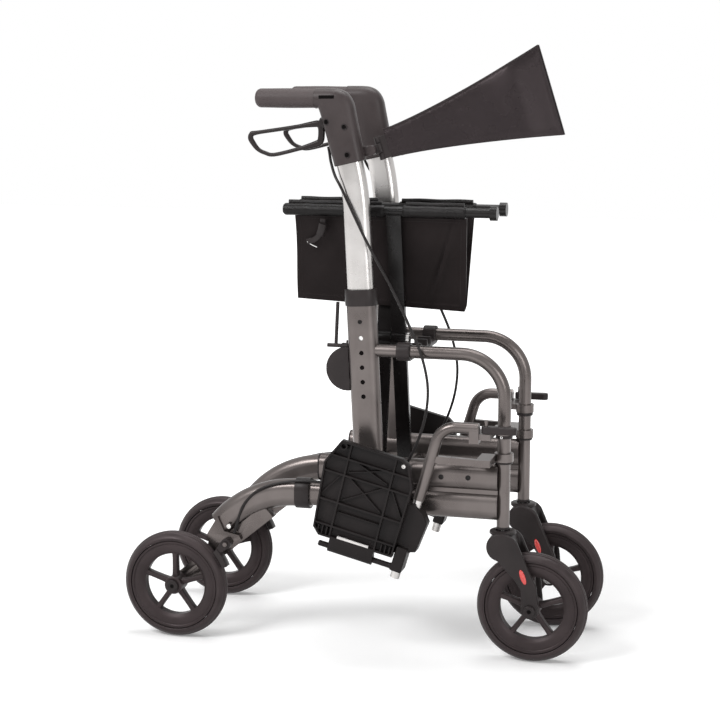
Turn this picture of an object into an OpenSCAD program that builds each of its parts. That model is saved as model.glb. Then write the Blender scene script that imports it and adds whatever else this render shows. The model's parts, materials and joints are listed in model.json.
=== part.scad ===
// Rollator transport chair, folded: +X is forward, +Y is the left side, +Z is up.
// Pieces are drawn for the right side (negative Y); the left side is the mirror image.

/* [Wheels] */
// Diameter over the tyre
wheel_d = 190; // [170:1:210]
// Width of the tyre
tyre_w = 34; // [26:1:38]
// Diameter where the tyre sits on the rim
rim_d = 160; // [146:1:166]
// Number of spokes
spoke_count = 5; // [3:1:8]
// Width of one spoke
spoke_w = 9; // [7:0.5:13]
// Diameter of the wheel axles
axle_d = 12; // [8:1:14]

/* [Side frame] */
// Distance between front and rear axles
wheelbase = 632; // [600:1:680]
// Distance between the two side frames when folded
folded_gap = 197; // [190:1:220]
// Distance of the front axle ahead of the caster stem
caster_trail = 52; // [44:1:60]
// Height of the groove between the two lobes of the beam
beam_z = 291.5; // [286:0.5:300]
// Height of one lobe of the beam
lobe_h = 49; // [44:1:54]
// Thickness of the beam
lobe_t = 36; // [32:1:38]
// Wall of the beam
beam_wall = 3; // [2:0.5:4]
// Diameter of the front tube
tube_d = 22; // [19:1:24]
// Wall of the round tubes
tube_wall = 2; // [1.5:0.5:2.5]
// Height of the level part of the front tube
front_z = 524; // [505:1:535]
// Bend radius of the front tube
front_bend_r = 74; // [60:1:85]

/* [Upright and handle] */
// Length of the oval upright in plan
upright_w = 52; // [50:1:56]
// Width of the oval upright
upright_t = 32; // [30:1:34]
// Height of the top of the upright
upright_top = 600; // [585:1:615]
// Backward lean of the upright in degrees
upright_lean = 2.86; // [2:0.02:4]
// Length of the oval handle post in plan
post_w = 46; // [42:1:46]
// Width of the oval handle post
post_t = 26; // [22:1:26]
// Wall of the handle post
post_wall = 2; // [1.5:0.5:2.5]
// Height of the grip axis
grip_z = 946; // [935:1:960]
// Diameter of the grip
grip_d = 33; // [30:1:36]
// Length of the grip
grip_l = 105; // [90:1:120]
// Spacing of the height holes
hole_pitch = 25; // [20:1:25]

/* [Cross frame and seat] */
// Width of a cross bar
bar_w = 25; // [20:1:26]
// Thickness of a cross bar
bar_t = 10; // [8:1:11]
// Length of a cross bar from the lower hinge to the centre pivot
bar_low = 237; // [230:1:242]
// Length of a cross bar from the centre pivot to the seat rail
bar_high = 229; // [222:1:232]
// Diameter of a seat rail
rail_d = 16; // [14:1:18]
// Hanging length of the seat cloth
cloth_l = 178; // [160:1:182]
// Thickness of the seat cloth with its padding
cloth_t = 2.4; // [1.6:0.2:2.8]

/* [Backrest] */
// Length of one half of the backrest band
band_l = 300; // [270:1:305]
// Height of the band at its root
band_root_h = 50; // [46:1:54]
// Height of the band at its middle
band_tip_h = 156; // [130:1:160]
// Thickness of the band
band_t = 8; // [6:0.5:9]

/* [Footrest] */
// Distance of the footrest tubes outboard of the frame
foot_out = 56.5; // [52:0.5:60]
// Height of the level arm of the footrest
foot_arm_z = 410; // [400:1:420]
// Lean of the footrest leg in degrees
foot_lean = 16.5; // [12:0.5:20]
// Diameter of the footrest tube
foot_tube_d = 19; // [18:1:22]
// Diameter of the sliding extension
foot_ext_d = 16; // [13:1:16]
// Length of the footplate
plate_l = 157; // [140:1:160]
// Depth of the footplate from its hinge side
plate_h = 171; // [160:1:182]
// Depth of the ribs below the footplate skin
rib_h = 10; // [7:0.5:11]

/* [Hidden] */
$fn = 48;
slack = 0.1;
fit = 0.05;
weld = 0.02;
fy = folded_gap / 2;
axle_x = wheelbase / 2;
axle_z = wheel_d / 2;
stem_x = axle_x - caster_trail;
lobe_z = [beam_z - lobe_h / 2, beam_z + lobe_h / 2];
beam_x = [-55, stem_x - 8];
upright_x = 16;
post_up = grip_z - upright_top - 194;
post_r = 450;
post_bend = 8.9;
post_drop = 150;
post_turn = 14;
head_tilt = upright_lean + post_bend;
head_w = post_w + 10;
head_t = post_t + 11;
lever_pivot = [-47, grip_z - 39];
lever_t = 10;
seam_x = -63;
stub_d = 22;
button_d = 7.6;
first_hole = -54.5;
pin_d = 6;
rest_angle = 10.8;
hinge_y = fy - 54.1;
hinge_z = beam_z + 5.8;
hinge_pin_d = 12;
bar_a_x = 31;
bar_b_x = bar_a_x + bar_w + 2;
rail_y = (bar_low + bar_high) * sin(rest_angle) - hinge_y;
rail_z = hinge_z + (bar_low + bar_high) * cos(rest_angle);
rail_x = [-138, 226];
sleeve_d = rail_d + 6;
cloth_x = [-136, 183];
cloth_angle = asin((rail_y - sleeve_d / 2 - 0.8) / cloth_l);
seat_open_y = fy - 61;
seat_open_z = hinge_z + (bar_low + bar_high) * cos(rest_angle + 50);
leg_x = -100;
leg_r = 180;
leg_turn = 50;
leg_h = 48;
leg_t = 34;
strut_dir = atan2(137, 166);
strut_l = 215;
strut_h = 27;
strut_t = 20;
wheel_y = fy + strut_t / 2 + 2.5 + tyre_w / 2;
hub_w = tyre_w + 2;
brake_pivot = [-220, 175];
fork_gap = tyre_w / 2 + 3;
fork_arm = 8;
fork_z = wheel_d / 2 + 106;
stem_z = fork_z + 31;
back_x = 30;
back_z = grip_z - 86;
back_in = 75;
back_tilt = 17.5;
back_turn = asin((back_in - 6) / band_l);
foot_y = fy + foot_out;
leg_point = [128, 275.5];
leg_foot_x = leg_point[0] + (foot_arm_z - leg_point[1]) * tan(foot_lean);
foot_bend_r = 35;
foot_bend_len = foot_bend_r * tan((90 - foot_lean) / 2);
foot_hinge = [leg_foot_x - 67.84, foot_y + 17, foot_arm_z - 230];
plate_turn = 14;
cable_d = 5;
cable_route = [
  [-41.6, -fy, grip_z - 80], [-39.4, -fy - 1, grip_z - 90], [-36, -fy - 3.5, grip_z - 106],
  [-27, -fy - 10.5, grip_z - 128], [-12, -fy - 17.5, grip_z - 152],
  [28, -118, 714], [76, -118, 628], [104, -117, 570], [125, -116, 520], [136, -117, 469], [133, -119, 420],
  [119, -121.5, 372], [98, -120.6, 330], [84, -120, 314], [70, -117.6, 300], [40, -112.2, 291.5],
  [0, -112.2, 291.5],
  [-48, -112.2, 291.5], [-74, -113.8, 292], [-100, -114.4, 290.5], [-134.6, -114.4, 283.6],
  [-161, -116.8, 273.4], [-180, -118.4, 258], [-193, -118.5, 241], [-200, -118.5, 224],
  [-205, -118.5, 206], [-210, -118.5, 191]
];

// Shared shapes

module on_side(side) {
  if (side < 0) children();
  else mirror([0, 1, 0]) children();
}

// Oval with straight sides, longest along X
module oval(w, t) {
  square([w - t, t], center = true);
  for (s = [-1, 1]) translate([s * (w - t) / 2, 0]) circle(d = t);
}

// Flat bar with round ends between two points; its sides cross the end circles instead of touching them
module bar(p, q, w) {
  translate(p) rotate(atan2(q[1] - p[1], q[0] - p[0]))
    translate([0, -w / 2 + weld]) square([norm(q - p), w - 2 * weld]);
  for (c = [p, q]) translate(c) circle(d = w);
}

// Limb that tapers from circle to circle; each point is [x, z, radius]
module limb(pts) {
  for (i = [0:len(pts) - 2]) {
    p = [pts[i][0], pts[i][1]];
    q = [pts[i + 1][0], pts[i + 1][1]];
    r = pts[i][2] - weld;
    s = pts[i + 1][2] - weld;
    turn = atan2(q[1] - p[1], q[0] - p[0]);
    side = acos((r - s) / norm(q - p));
    around = function(c, d, a) c + d * [cos(turn + a), sin(turn + a)];
    polygon([around(p, r, side), around(p, r, -side), around(q, s, -side), around(q, s, side)]);
  }
  for (c = pts) translate([c[0], c[1]]) circle(r = c[2]);
}

// Extrudes a side view (X, Z) from the outer face inward
module side_plate(y_out, t) {
  translate([0, -y_out + t, 0]) rotate([90, 0, 0]) linear_extrude(t) children();
}

module along_x(x, y, z, l, d) {
  translate([x, y, z]) rotate([0, 90, 0]) cylinder(d = d, h = l);
}

module along_y(x, y, z, l, d) {
  translate([x, y, z]) rotate([-90, 0, 0]) cylinder(d = d, h = l);
}

// Part of a bent bar in the XZ plane that starts upward at the origin and turns toward negative X
module turned(r, a) {
  translate([-r, 0, 0]) rotate([90, 0, 0]) rotate_extrude(angle = a, $fn = 96) translate([r, 0]) children();
}

// Moves to the end of such a bend
module past_turn(r, a) {
  translate([-r, 0, 0]) rotate([0, -a, 0]) translate([r, 0, 0]) children();
}

// Side frame

module lobes(inset) {
  for (z = lobe_z) translate([0, z]) rotate(90) oval(lobe_h - 2 * inset, lobe_t - 2 * inset);
}

module beam_shape(grow) {
  rotate([90, 0, 90]) linear_extrude(beam_x[1] - beam_x[0]) {
    lobes(-grow);
    translate([0, beam_z]) square([lobe_t * 0.6, 18], center = true);
  }
}

module main_beam(side) {
  lug_t = 8;
  sleeve = bar_b_x + bar_w / 2 - bar_a_x + bar_w / 2;
  color("#6f6868") on_side(side) difference() {
    union() {
      translate([beam_x[0], -fy, 0]) beam_shape(0);
      for (x = [bar_a_x - bar_w / 2 - 2.5 - lug_t, bar_a_x - bar_w / 2 + sleeve + 2.5])
        translate([x, -fy + lobe_t / 2 - 6, hinge_z - 11])
          cube([lug_t, fy - lobe_t / 2 + 6 - hinge_y + 10, 22]);
      along_x(bar_a_x - bar_w / 2 - 8, -hinge_y, hinge_z, sleeve + 16, hinge_pin_d);
    }
    translate([beam_x[0] - 1, -fy, 0]) rotate([90, 0, 90])
      linear_extrude(stem_x - beam_x[0] - 40) lobes(beam_wall);
    translate([stem_x, -fy, 0]) cylinder(d = tube_d + 2 * slack, h = front_z);
  }
}

module front_path(d) {
  along_x(upright_x, -fy, front_z, stem_x - front_bend_r - upright_x, d);
  translate([stem_x, -fy, front_z - front_bend_r]) turned(front_bend_r, 90) circle(d = d);
  translate([stem_x, -fy, stem_z]) cylinder(d = d, h = front_z - front_bend_r - stem_z);
}

module front_tube(side) {
  color("#7a7272") on_side(side) difference() {
    front_path(tube_d);
    front_path(tube_d - 2 * tube_wall);
    upright_shape(slack, -300);
  }
}

module in_upright() {
  translate([upright_x, -fy, upright_top]) rotate([0, -upright_lean, 0]) children();
}

module upright_shape(grow, low) {
  in_upright() translate([0, 0, low]) linear_extrude(-low) oval(upright_w + 2 * grow, upright_t + 2 * grow);
}

module upright_tube(side) {
  wall = 2.5;
  color("#6f6868") on_side(side) difference() {
    upright_shape(0, -280);
    in_upright() {
      translate([0, 0, -290]) linear_extrude(300) oval(upright_w - 2 * wall, upright_t - 2 * wall);
      for (i = [0:4]) translate([0, -upright_t, first_hole - i * hole_pitch]) rotate([-90, 0, 0])
        cylinder(d = 8, h = upright_t);
    }
    translate([beam_x[0], -fy, 0]) beam_shape(slack);
    translate([beam_x[0], -fy - lobe_t, 0]) cube([wheelbase, 2 * lobe_t, lobe_z[1]]);
  }
}

module frame_collars(side) {
  color("#2b2626") on_side(side) {
    in_upright() translate([0, 0, slack]) linear_extrude(28) difference() {
      oval(upright_w + 4, upright_t + 4);
      oval(post_w + 0.8, post_t + 0.8);
    }
    translate([leg_x, -fy, lobe_z[0]]) rotate([0, 90, 0]) linear_extrude(26) difference() {
      oval(leg_h + 6, leg_t + 6);
      oval(leg_h + 2 * slack, leg_t + 2 * slack);
    }
    translate([beam_x[0] - 3.1, -fy, lobe_z[1]]) rotate([0, 90, 0])
      linear_extrude(3) oval(lobe_h - 1, lobe_t);
    for (zh = [[foot_arm_z - 69, 3.5], [foot_arm_z - 25, 5.5]])
      translate([stem_x, -fy, zh[0]]) difference() {
        cylinder(d = tube_d + 7, h = zh[1]);
        translate([0, 0, -1]) cylinder(d = tube_d + 2 * slack, h = zh[1] + 2);
      }
    translate([stem_x, -fy, stem_z - 5]) difference() {
      union() {
        cylinder(d = tube_d, h = 4.9);
        cylinder(d = tube_d - 2 * tube_wall - 2 * fit, h = 55);
      }
      translate([0, 0, -1]) cylinder(d = hinge_pin_d + 2 * fit, h = 70);
    }
  }
}

module leg_path(h, t) {
  translate([leg_x, -fy, lobe_z[0]]) rotate([0, 90, 0]) linear_extrude(26) oval(h, t);
  translate([leg_x, -fy, lobe_z[0]]) rotate([0, -90, 0]) turned(leg_r, leg_turn) oval(h, t);
}

module rear_leg(side) {
  spigot = 14;
  color("#6f6868") on_side(side) {
    difference() {
      leg_path(leg_h, leg_t);
      leg_path(leg_h - 6, leg_t - 6);
    }
    translate([leg_x + 8, -fy, lobe_z[0]]) rotate([0, 90, 0])
      linear_extrude(beam_x[0] - leg_x + spigot + 20)
        oval(lobe_h - 2 * beam_wall - 1, lobe_t - 2 * beam_wall - 1);
  }
}

module rear_strut(side) {
  brace = [[-240, 219], [-228, 193], [-201, 188], [-197, 180], [-213, 165], [-248, 150], [-264, 158],
    [-259, 188]];
  color("#6f6868") on_side(side) difference() {
    union() {
      side_plate(fy + strut_t / 2, strut_t) translate([-axle_x, axle_z]) {
        rotate(strut_dir) translate([0, -strut_h / 2]) square([strut_l, strut_h]);
        circle(d = strut_h);
      }
      difference() {
        side_plate(fy + leg_t / 2 + 4.5, leg_t / 2 + 6) polygon(brace);
        along_y(-axle_x, -fy - 40, axle_z, 40 - strut_t / 2 + 0.5, wheel_d + 7);
      }
      along_y(brake_pivot[0], -wheel_y - 13, brake_pivot[1], wheel_y + 13 - fy, 8);
      along_y(-axle_x, -wheel_y - hub_w / 2 - 2, axle_z, hub_w / 2 + 2 + wheel_y - fy, axle_d);
      along_y(-axle_x, -wheel_y - hub_w / 2 - 4, axle_z, 3, axle_d + 8);
    }
    leg_path(leg_h + 2 * slack, leg_t + 2 * slack);
  }
}

// Supports that the seat rails drop into when the chair is open

module rail_seat(x, w) {
  translate([x, -seat_open_y, seat_open_z]) rotate([90, 0, 90]) linear_extrude(w) difference() {
    translate([-sleeve_d / 2 - 6, -sleeve_d / 2 - 6]) square([sleeve_d + 12, sleeve_d / 2 + 8]);
    circle(d = sleeve_d + 2);
    translate([-sleeve_d / 2 - 1, 0]) square([sleeve_d + 2, 20]);
  }
}

module seat_rests(side) {
  clip_x = 79;
  clip_w = 24;
  arm_low = seat_open_z - sleeve_d / 2 - 6;
  back_w = 22;
  back_plate_x = -8;
  arm_in = fy - seat_open_y - sleeve_d / 2 - 3;
  plate_r = 38;
  plate_z = front_z - 34;
  color("#332e2e") on_side(side) {
    difference() {
      union() {
        rail_seat(clip_x, clip_w);
        along_x(clip_x, -fy, front_z, clip_w, tube_d + 9);
        translate([clip_x, -fy, arm_low]) cube([clip_w, arm_in, 10]);
      }
      along_x(clip_x - 1, -fy, front_z, clip_w + 2, tube_d + 2 * slack);
    }
    difference() {
      union() {
        rail_seat(back_plate_x - back_w - 2, back_w);
        side_plate(fy + 5, 10) intersection() {
          translate([back_plate_x, plate_z]) circle(r = plate_r);
          translate([back_plate_x - 60, plate_z - 50]) square([72, 100]);
        }
        translate([back_plate_x - back_w - 2, -fy, arm_low]) cube([back_w, arm_in, 10]);
      }
      upright_shape(slack, -300);
    }
  }
}

// Cable swept along a smooth curve through the route points

function mix(a, b, c, d, t) = 0.5 * (2 * b + (c - a) * t + (2 * a - 5 * b + 4 * c - d) * t * t
  + (3 * b - a - 3 * c + d) * t * t * t);

function smooth(pts, steps) = let(n = len(pts)) [
  for (i = [0:n - 2], k = [0:steps - 1])
    mix(pts[max(i - 1, 0)], pts[i], pts[i + 1], pts[min(i + 2, n - 1)], k / steps),
  pts[n - 1]
];

module swept(pts, d, sides) {
  n = len(pts);
  ring = [for (i = [0:n - 1])
    let(
      along = pts[min(i + 1, n - 1)] - pts[max(i - 1, 0)],
      t = along / norm(along),
      c = cross([0, 1, 0], t),
      u = c / norm(c),
      v = cross(t, u)
    )
    for (k = [0:sides - 1]) pts[i] + d / 2 * (cos(360 * k / sides) * u + sin(360 * k / sides) * v)];
  skin = [for (i = [0:n - 2], k = [0:sides - 1])
    let(j = (k + 1) % sides) [i * sides + k, (i + 1) * sides + k, (i + 1) * sides + j, i * sides + j]];
  polyhedron(ring, concat(
    skin,
    [[for (k = [0:sides - 1]) k]],
    [[for (k = [sides - 1:-1:0]) (n - 1) * sides + k]]
  ));
}

module brake_cable(side) {
  color("#1c1818") on_side(side) swept(smooth(cable_route, 5), cable_d, 8);
}

// Handle

module post_section() {
  difference() {
    oval(post_w, post_t);
    oval(post_w - 2 * post_wall, post_t - 2 * post_wall);
  }
}

module at_head() {
  in_upright() translate([0, 0, post_up]) past_turn(post_r, post_bend) children();
}

module handle_post(side) {
  color("#c8c3c0") on_side(side) in_upright() {
    difference() {
      translate([0, 0, -post_drop]) linear_extrude(post_drop + post_up) post_section();
      translate([0, -post_t, first_hole]) rotate([-90, 0, 0]) cylinder(d = button_d + 2 * fit, h = post_t);
    }
    translate([0, 0, post_up]) turned(post_r, post_turn) post_section();
  }
}

module post_button(side) {
  color("#b9b4b1") on_side(side) in_upright()
    translate([0, -post_t / 2 - 0.1, first_hole]) rotate([-90, 0, 0]) cylinder(d = button_d, h = 11);
}

module handle_head(side) {
  low = 20;
  high = 109;
  bend = 20;
  front = head_w / 2 - head_t / 2;
  elbow_d = head_t - 2;
  color("#3d3737") on_side(side) difference() {
    union() {
      difference() {
        union() {
          at_head() translate([0, 0, low]) linear_extrude(high - low) oval(head_w, head_t);
          at_head() translate([front - 0.5, 0, high]) {
            turned(bend, 90 - head_tilt) circle(d = elbow_d);
            past_turn(bend, 90 - head_tilt) cylinder(d = elbow_d, h = 28);
            translate([0, 0, -30]) cylinder(d = elbow_d, h = 30);
          }
          side_plate(fy + head_t / 2 - 3, head_t - 6)
            polygon([[seam_x, grip_z - 16], [-54, grip_z - 34], [-20, grip_z - 40], [-8, grip_z - 6],
              [seam_x, grip_z]]);
        }
        side_plate(fy + lever_t / 2 + 0.5, lever_t + 1)
          polygon([[-80, grip_z - 76], [-46, grip_z - 76], [-46, grip_z - 54], [-32, grip_z - 54],
            [-32, grip_z - 26], [-80, grip_z - 26]]);
      }
      along_y(lever_pivot[0], -fy - head_t / 2 + 3, lever_pivot[1], head_t - 6, pin_d);
      along_x(seam_x - grip_l + 18, -fy, grip_z, grip_l - 10, stub_d);
      difference() {
        side_plate(fy - 5, 7.8) bar([4, back_z - 3], [back_x, back_z], 17);
        at_head() cylinder(d = 20, h = 40);
      }
      along_y(back_x, -fy + 13, back_z, 21, 8);
    }
    in_upright() translate([0, 0, post_up])
      turned(post_r, post_turn + 0.1) oval(post_w + 2 * slack, post_t + 2 * slack);
  }
}

module grip(side) {
  corner = 10;
  color("#3a3434") on_side(side) translate([seam_x - 0.2, -fy, grip_z]) rotate([0, -90, 0]) difference() {
    rotate_extrude() intersection() {
      union() {
        square([grip_d / 2, grip_l - corner]);
        square([grip_d / 2 - corner, grip_l]);
        translate([grip_d / 2 - corner, grip_l - corner]) circle(r = corner);
      }
      square([grip_d, grip_l]);
    }
    translate([0, 0, -1]) cylinder(d = stub_d + 2 * fit, h = grip_l - 15);
  }
}

module brake_lever(side) {
  drop = function(x, z, r) [x, grip_z - z, r];
  color("#2e2929") on_side(side) difference() {
    side_plate(fy + lever_t / 2, lever_t)
      limb([drop(lever_pivot[0], 39, 10), drop(-66, 42, 4.5), drop(-178, 60, 4.2), drop(-176, 72, 4.6),
        drop(-166, 86, 4.4), drop(-153, 92, 4), drop(-136, 95, 3.6), drop(-92, 84, 3.5), drop(-56, 74, 4),
        drop(-54, 50, 4.8)]);
    along_y(lever_pivot[0], -fy - 20, lever_pivot[1], 40, pin_d + 2 * fit);
  }
}

module brake_arm(side) {
  shoe_in = wheel_d / 2 + 2.5;
  shoe_out = shoe_in + 9;
  shoe_a = 22;
  shoe_b = 41;
  reach = 12;
  color("#2e2929") on_side(side) difference() {
    union() {
      translate([-axle_x, -wheel_y + 5, axle_z]) rotate([90, 0, 0]) rotate([0, 0, shoe_a])
        rotate_extrude(angle = shoe_b - shoe_a, $fn = 96)
          translate([shoe_in, 0]) square([shoe_out - shoe_in, reach + 5]);
      side_plate(wheel_y + reach - 3, 14) limb([[brake_pivot[0], brake_pivot[1], 9],
        [-axle_x + (shoe_in + 5) * cos(shoe_b - 2), axle_z + (shoe_in + 5) * sin(shoe_b - 2), 4]]);
    }
    along_y(brake_pivot[0], -wheel_y - 40, brake_pivot[1], 80, 8 + 2 * fit);
  }
}

// Wheels

module tyre(x, y) {
  crown = 20;
  color("#262121") translate([x, y, axle_z]) rotate([90, 0, 0]) rotate_extrude($fn = 120) intersection() {
    translate([wheel_d / 2 - crown, 0]) circle(r = crown, $fn = 96);
    translate([rim_d / 2, -tyre_w / 2]) square([wheel_d, tyre_w]);
  }
}

module rim(x, y) {
  hub_r = 16;
  ring_in = rim_d / 2 - 22;
  color("#2f2a2a") translate([x, y, axle_z]) rotate([90, 0, 0]) difference() {
    union() {
      rotate_extrude($fn = 120) translate([ring_in, -tyre_w / 2 + 4])
        square([rim_d / 2 - ring_in - slack, tyre_w - 8]);
      for (i = [0:spoke_count - 1]) rotate(90 + i * 360 / spoke_count)
        translate([hub_r - 5, -spoke_w / 2, -8]) cube([ring_in - hub_r + 8, spoke_w, 16]);
      translate([0, 0, -hub_w / 2]) cylinder(r = hub_r, h = hub_w);
    }
    translate([0, 0, -hub_w]) cylinder(d = axle_d + 2 * fit, h = 2 * hub_w);
  }
}

module rear_tyre(side) { on_side(side) tyre(-axle_x, -wheel_y); }

module rear_rim(side) { on_side(side) rim(-axle_x, -wheel_y); }

module front_tyre(side) { on_side(side) tyre(axle_x, -fy); }

module front_rim(side) { on_side(side) rim(axle_x, -fy); }

module caster_fork(side) {
  crown = 24;
  arm = [[stem_x, fork_z, crown], [stem_x + 9, fork_z - 2, crown - 0.5], [stem_x + 20, fork_z - 20, 20.5],
    [stem_x + 37, fork_z - 45, 15], [axle_x - 2, axle_z + 38, 13.5], [axle_x, axle_z, 15]];
  color("#2e2929") on_side(side) difference() {
    union() {
      side_plate(fy + fork_gap + fork_arm, 2 * (fork_gap + fork_arm))
        translate([stem_x, fork_z]) circle(r = crown);
      for (y = [fy + fork_gap + fork_arm, fy - fork_gap]) side_plate(y, fork_arm) limb(arm);
    }
    along_y(axle_x, -fy - fork_gap, axle_z, 2 * fork_gap, wheel_d + 8);
    translate([stem_x, -fy, fork_z - 20]) cylinder(d = hinge_pin_d + 2 * fit, h = 60);
    along_y(axle_x, -fy - 60, axle_z, 120, axle_d + 2 * fit);
  }
}

module caster_stem(side) {
  half = fork_gap + fork_arm;
  color("#a9a4a2") on_side(side) {
    translate([stem_x, -fy, fork_z - 14]) cylinder(d = hinge_pin_d, h = 78);
    along_y(axle_x, -fy - half - 1, axle_z, 2 * half + 2, axle_d);
    for (y = [-half - 4, half + 0.5]) along_y(axle_x, -fy + y, axle_z, 3.5, axle_d + 6);
  }
}

// Footrest

// The leg is a hair wider than the bend and laps it, so their joint is one clean step
module foot_path(d, tail) {
  translate([leg_foot_x + foot_bend_len, -foot_y, foot_arm_z]) {
    rotate([0, 90, 0]) cylinder(d = d, h = stem_x - 32 - leg_foot_x - foot_bend_len);
    rotate([0, -90, 0]) turned(foot_bend_r, 90 - foot_lean) circle(d = d);
  }
  foot_leg() translate([0, 0, foot_bend_len - 1]) cylinder(d = d + 0.1, h = tail - foot_bend_len + 1);
}

// Local axes of the footrest leg: Z runs down the leg from the corner of the hanger
module foot_leg() {
  translate([leg_foot_x, -foot_y, foot_arm_z]) rotate([0, 180 + foot_lean, 0]) children();
}

module footrest_hanger(side) {
  ring_d = tube_d + 10;
  rings = [[foot_arm_z - 65, 14], [foot_arm_z - 19, 14]];
  tail = 132;
  color("#7a7272") on_side(side) difference() {
    union() {
      foot_path(foot_tube_d, tail);
      translate([stem_x - 47, -foot_y - 9, foot_arm_z - 24]) cube([16, 18, 26]);
      for (r = rings) translate([stem_x, -fy, r[0]]) cylinder(d = ring_d, h = r[1]);
      translate([stem_x - 36, -foot_y - 6, rings[1][0] + 1]) cube([24, foot_out - 2, 10]);
      translate([stem_x - 36, -foot_y - 6, rings[0][0] + 1]) cube([24, foot_out - 2, 12]);
      side_plate(foot_y + 5, 10)
        bar([leg_foot_x - 14, rings[0][0] + 10], [stem_x - 26, rings[0][0] + 7], 11);
      translate([stem_x - 20, -foot_y, rings[1][0] + 8]) cylinder(d = pin_d, h = 26);
    }
    translate([stem_x, -fy, 0]) cylinder(d = tube_d + 2 * slack, h = front_z);
    foot_leg() translate([0, 0, foot_bend_len + 8]) cylinder(d = foot_ext_d + 2 * fit, h = tail);
  }
}

module footrest_lever(side) {
  low = foot_arm_z - 8;
  color("#4a4444") on_side(side) translate([stem_x - 20, -foot_y, low + 1]) difference() {
    linear_extrude(12) limb([[0, 0, 8], [22, -1, 6.5], [44, -2, 8]]);
    translate([0, 0, -1]) cylinder(d = pin_d + 2 * fit, h = 20);
  }
}

module footrest_extension(side) {
  color("#b9b4b1") on_side(side) foot_leg() difference() {
    translate([0, 0, 70]) cylinder(d = foot_ext_d, h = 206);
    translate([0, 0, 60]) cylinder(d = foot_ext_d - 4, h = 190);
  }
}

// Local axes of the footplate: X along the hinge, away from the leg, Z up the plate
module at_plate() {
  translate([foot_hinge[0], -foot_hinge[1], foot_hinge[2]])
    rotate([0, plate_turn, 0]) mirror([1, 0, 0]) children();
}

module footplate_hub(side) {
  outline = [[-66, -133], [-42, -132], [-27, -149], [-20, -166], [-40, -216], [-82, -218], [-86, -190]];
  lug_top = 215;
  lug_l = 44;
  color("#332e2e") on_side(side) difference() {
    union() {
      side_plate(foot_y + 13, 26) translate([leg_foot_x, foot_arm_z]) polygon(outline);
      at_plate() translate([-8, 0, -13]) rotate([0, 90, 0]) cylinder(d = 10, h = plate_l - 8);
      foot_leg() translate([-11, -24, lug_top]) cube([20, 36, lug_l]);
    }
    foot_leg() cylinder(d = foot_ext_d + 2 * fit, h = 400);
  }
}

module footplate(side) {
  skin = 3;
  rib_t = 3;
  low_x = 6;
  tab = [43, 122];
  inner = 3.5;
  ribs_along = [0.24, 0.75];
  ribs_across = [0.13, 0.38, 0.67, 0.84];
  outline = [[low_x + 5, 4], [low_x + plate_l - 20, 3], [low_x + plate_l - 8, 15],
    [low_x + plate_l, plate_h - 40], [low_x + plate_l - 21, plate_h + 3], [low_x + 27, plate_h + 2],
    [low_x + 14, plate_h - 6], [low_x, plate_h - 41]];
  centre = [low_x + plate_l / 2, plate_h / 2 + 3];
  color("#292424") on_side(side) at_plate() difference() {
    union() {
      translate([0, inner, 0]) rotate([90, 0, 0]) {
        linear_extrude(skin) polygon(outline);
        linear_extrude(skin + rib_h) difference() {
          polygon(outline);
          polygon([for (p = outline) centre + (p - centre) * (1 - 2 * rib_t / plate_l)]);
        }
        linear_extrude(skin + rib_h - 1) intersection() {
          polygon(outline);
          union() {
            for (f = ribs_along)
              translate([low_x + f * plate_l - rib_t / 2, 0]) square([rib_t, plate_h + 10]);
            for (f = ribs_across) translate([0, f * plate_h]) square([plate_l + 40, rib_t]);
          }
        }
      }
      translate([tab[0], 0, -13]) rotate([0, 90, 0]) cylinder(d = 18, h = tab[1] - tab[0]);
      translate([tab[0], -skin - rib_h + inner, -13]) cube([tab[1] - tab[0], skin + rib_h - 1, 18]);
    }
    translate([0, 0, -13]) rotate([0, 90, 0]) cylinder(d = 10 + 2 * fit, h = plate_l + 60);
  }
}

// Backrest

module at_back() {
  translate([back_x, -back_in, back_z]) rotate([0, -back_tilt, 0]) children();
}

module backrest_bracket(side) {
  swing_x = 12;
  color("#231f1f") on_side(side) at_back() difference() {
    union() {
      rotate([90, 0, 0]) translate([0, 0, -8]) cylinder(r = 8.5, h = 18);
      translate([0, -5, -8]) cube([swing_x, 10, 16]);
      translate([swing_x, 0, -8]) cylinder(r = 5.5, h = 16);
      translate([swing_x, 0, -20]) cylinder(d = 5, h = 40);
    }
    rotate([90, 0, 0]) translate([0, 0, -20]) cylinder(d = 8 + 2 * fit, h = 40);
  }
}

// Grid of the band: rows run along the length, columns around its rounded section
function band_edge(t) = [-0.42 * band_root_h - 0.45 * (band_tip_h - band_root_h) * pow(t, 1.35),
  0.58 * band_root_h + 0.55 * (band_tip_h - band_root_h) * pow(t, 1.35)];

module band_body(start) {
  rows = 14;
  cols = 20;
  lens = function(a) [sin(a), (abs(cos(a)) < 0.001 ? 0 : sign(cos(a)) * pow(abs(cos(a)), 0.45))];
  pts = [for (i = [0:rows], k = [0:cols - 1])
    let(
      t = i / rows,
      e = band_edge(t),
      q = lens(360 * k / cols),
      bow = 3 * sin(180 * t)
    )
    [start + t * (band_l - start), bow + q[1] * band_t / 2, (e[0] + e[1]) / 2 + q[0] * (e[1] - e[0]) / 2]];
  skin = [for (i = [0:rows - 1], k = [0:cols - 1])
    let(j = (k + 1) % cols) [i * cols + k, (i + 1) * cols + k, (i + 1) * cols + j, i * cols + j]];
  polyhedron(pts, concat(
    skin,
    [[for (k = [0:cols - 1]) k]],
    [[for (k = [cols - 1:-1:0]) rows * cols + k]]
  ));
}

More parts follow.
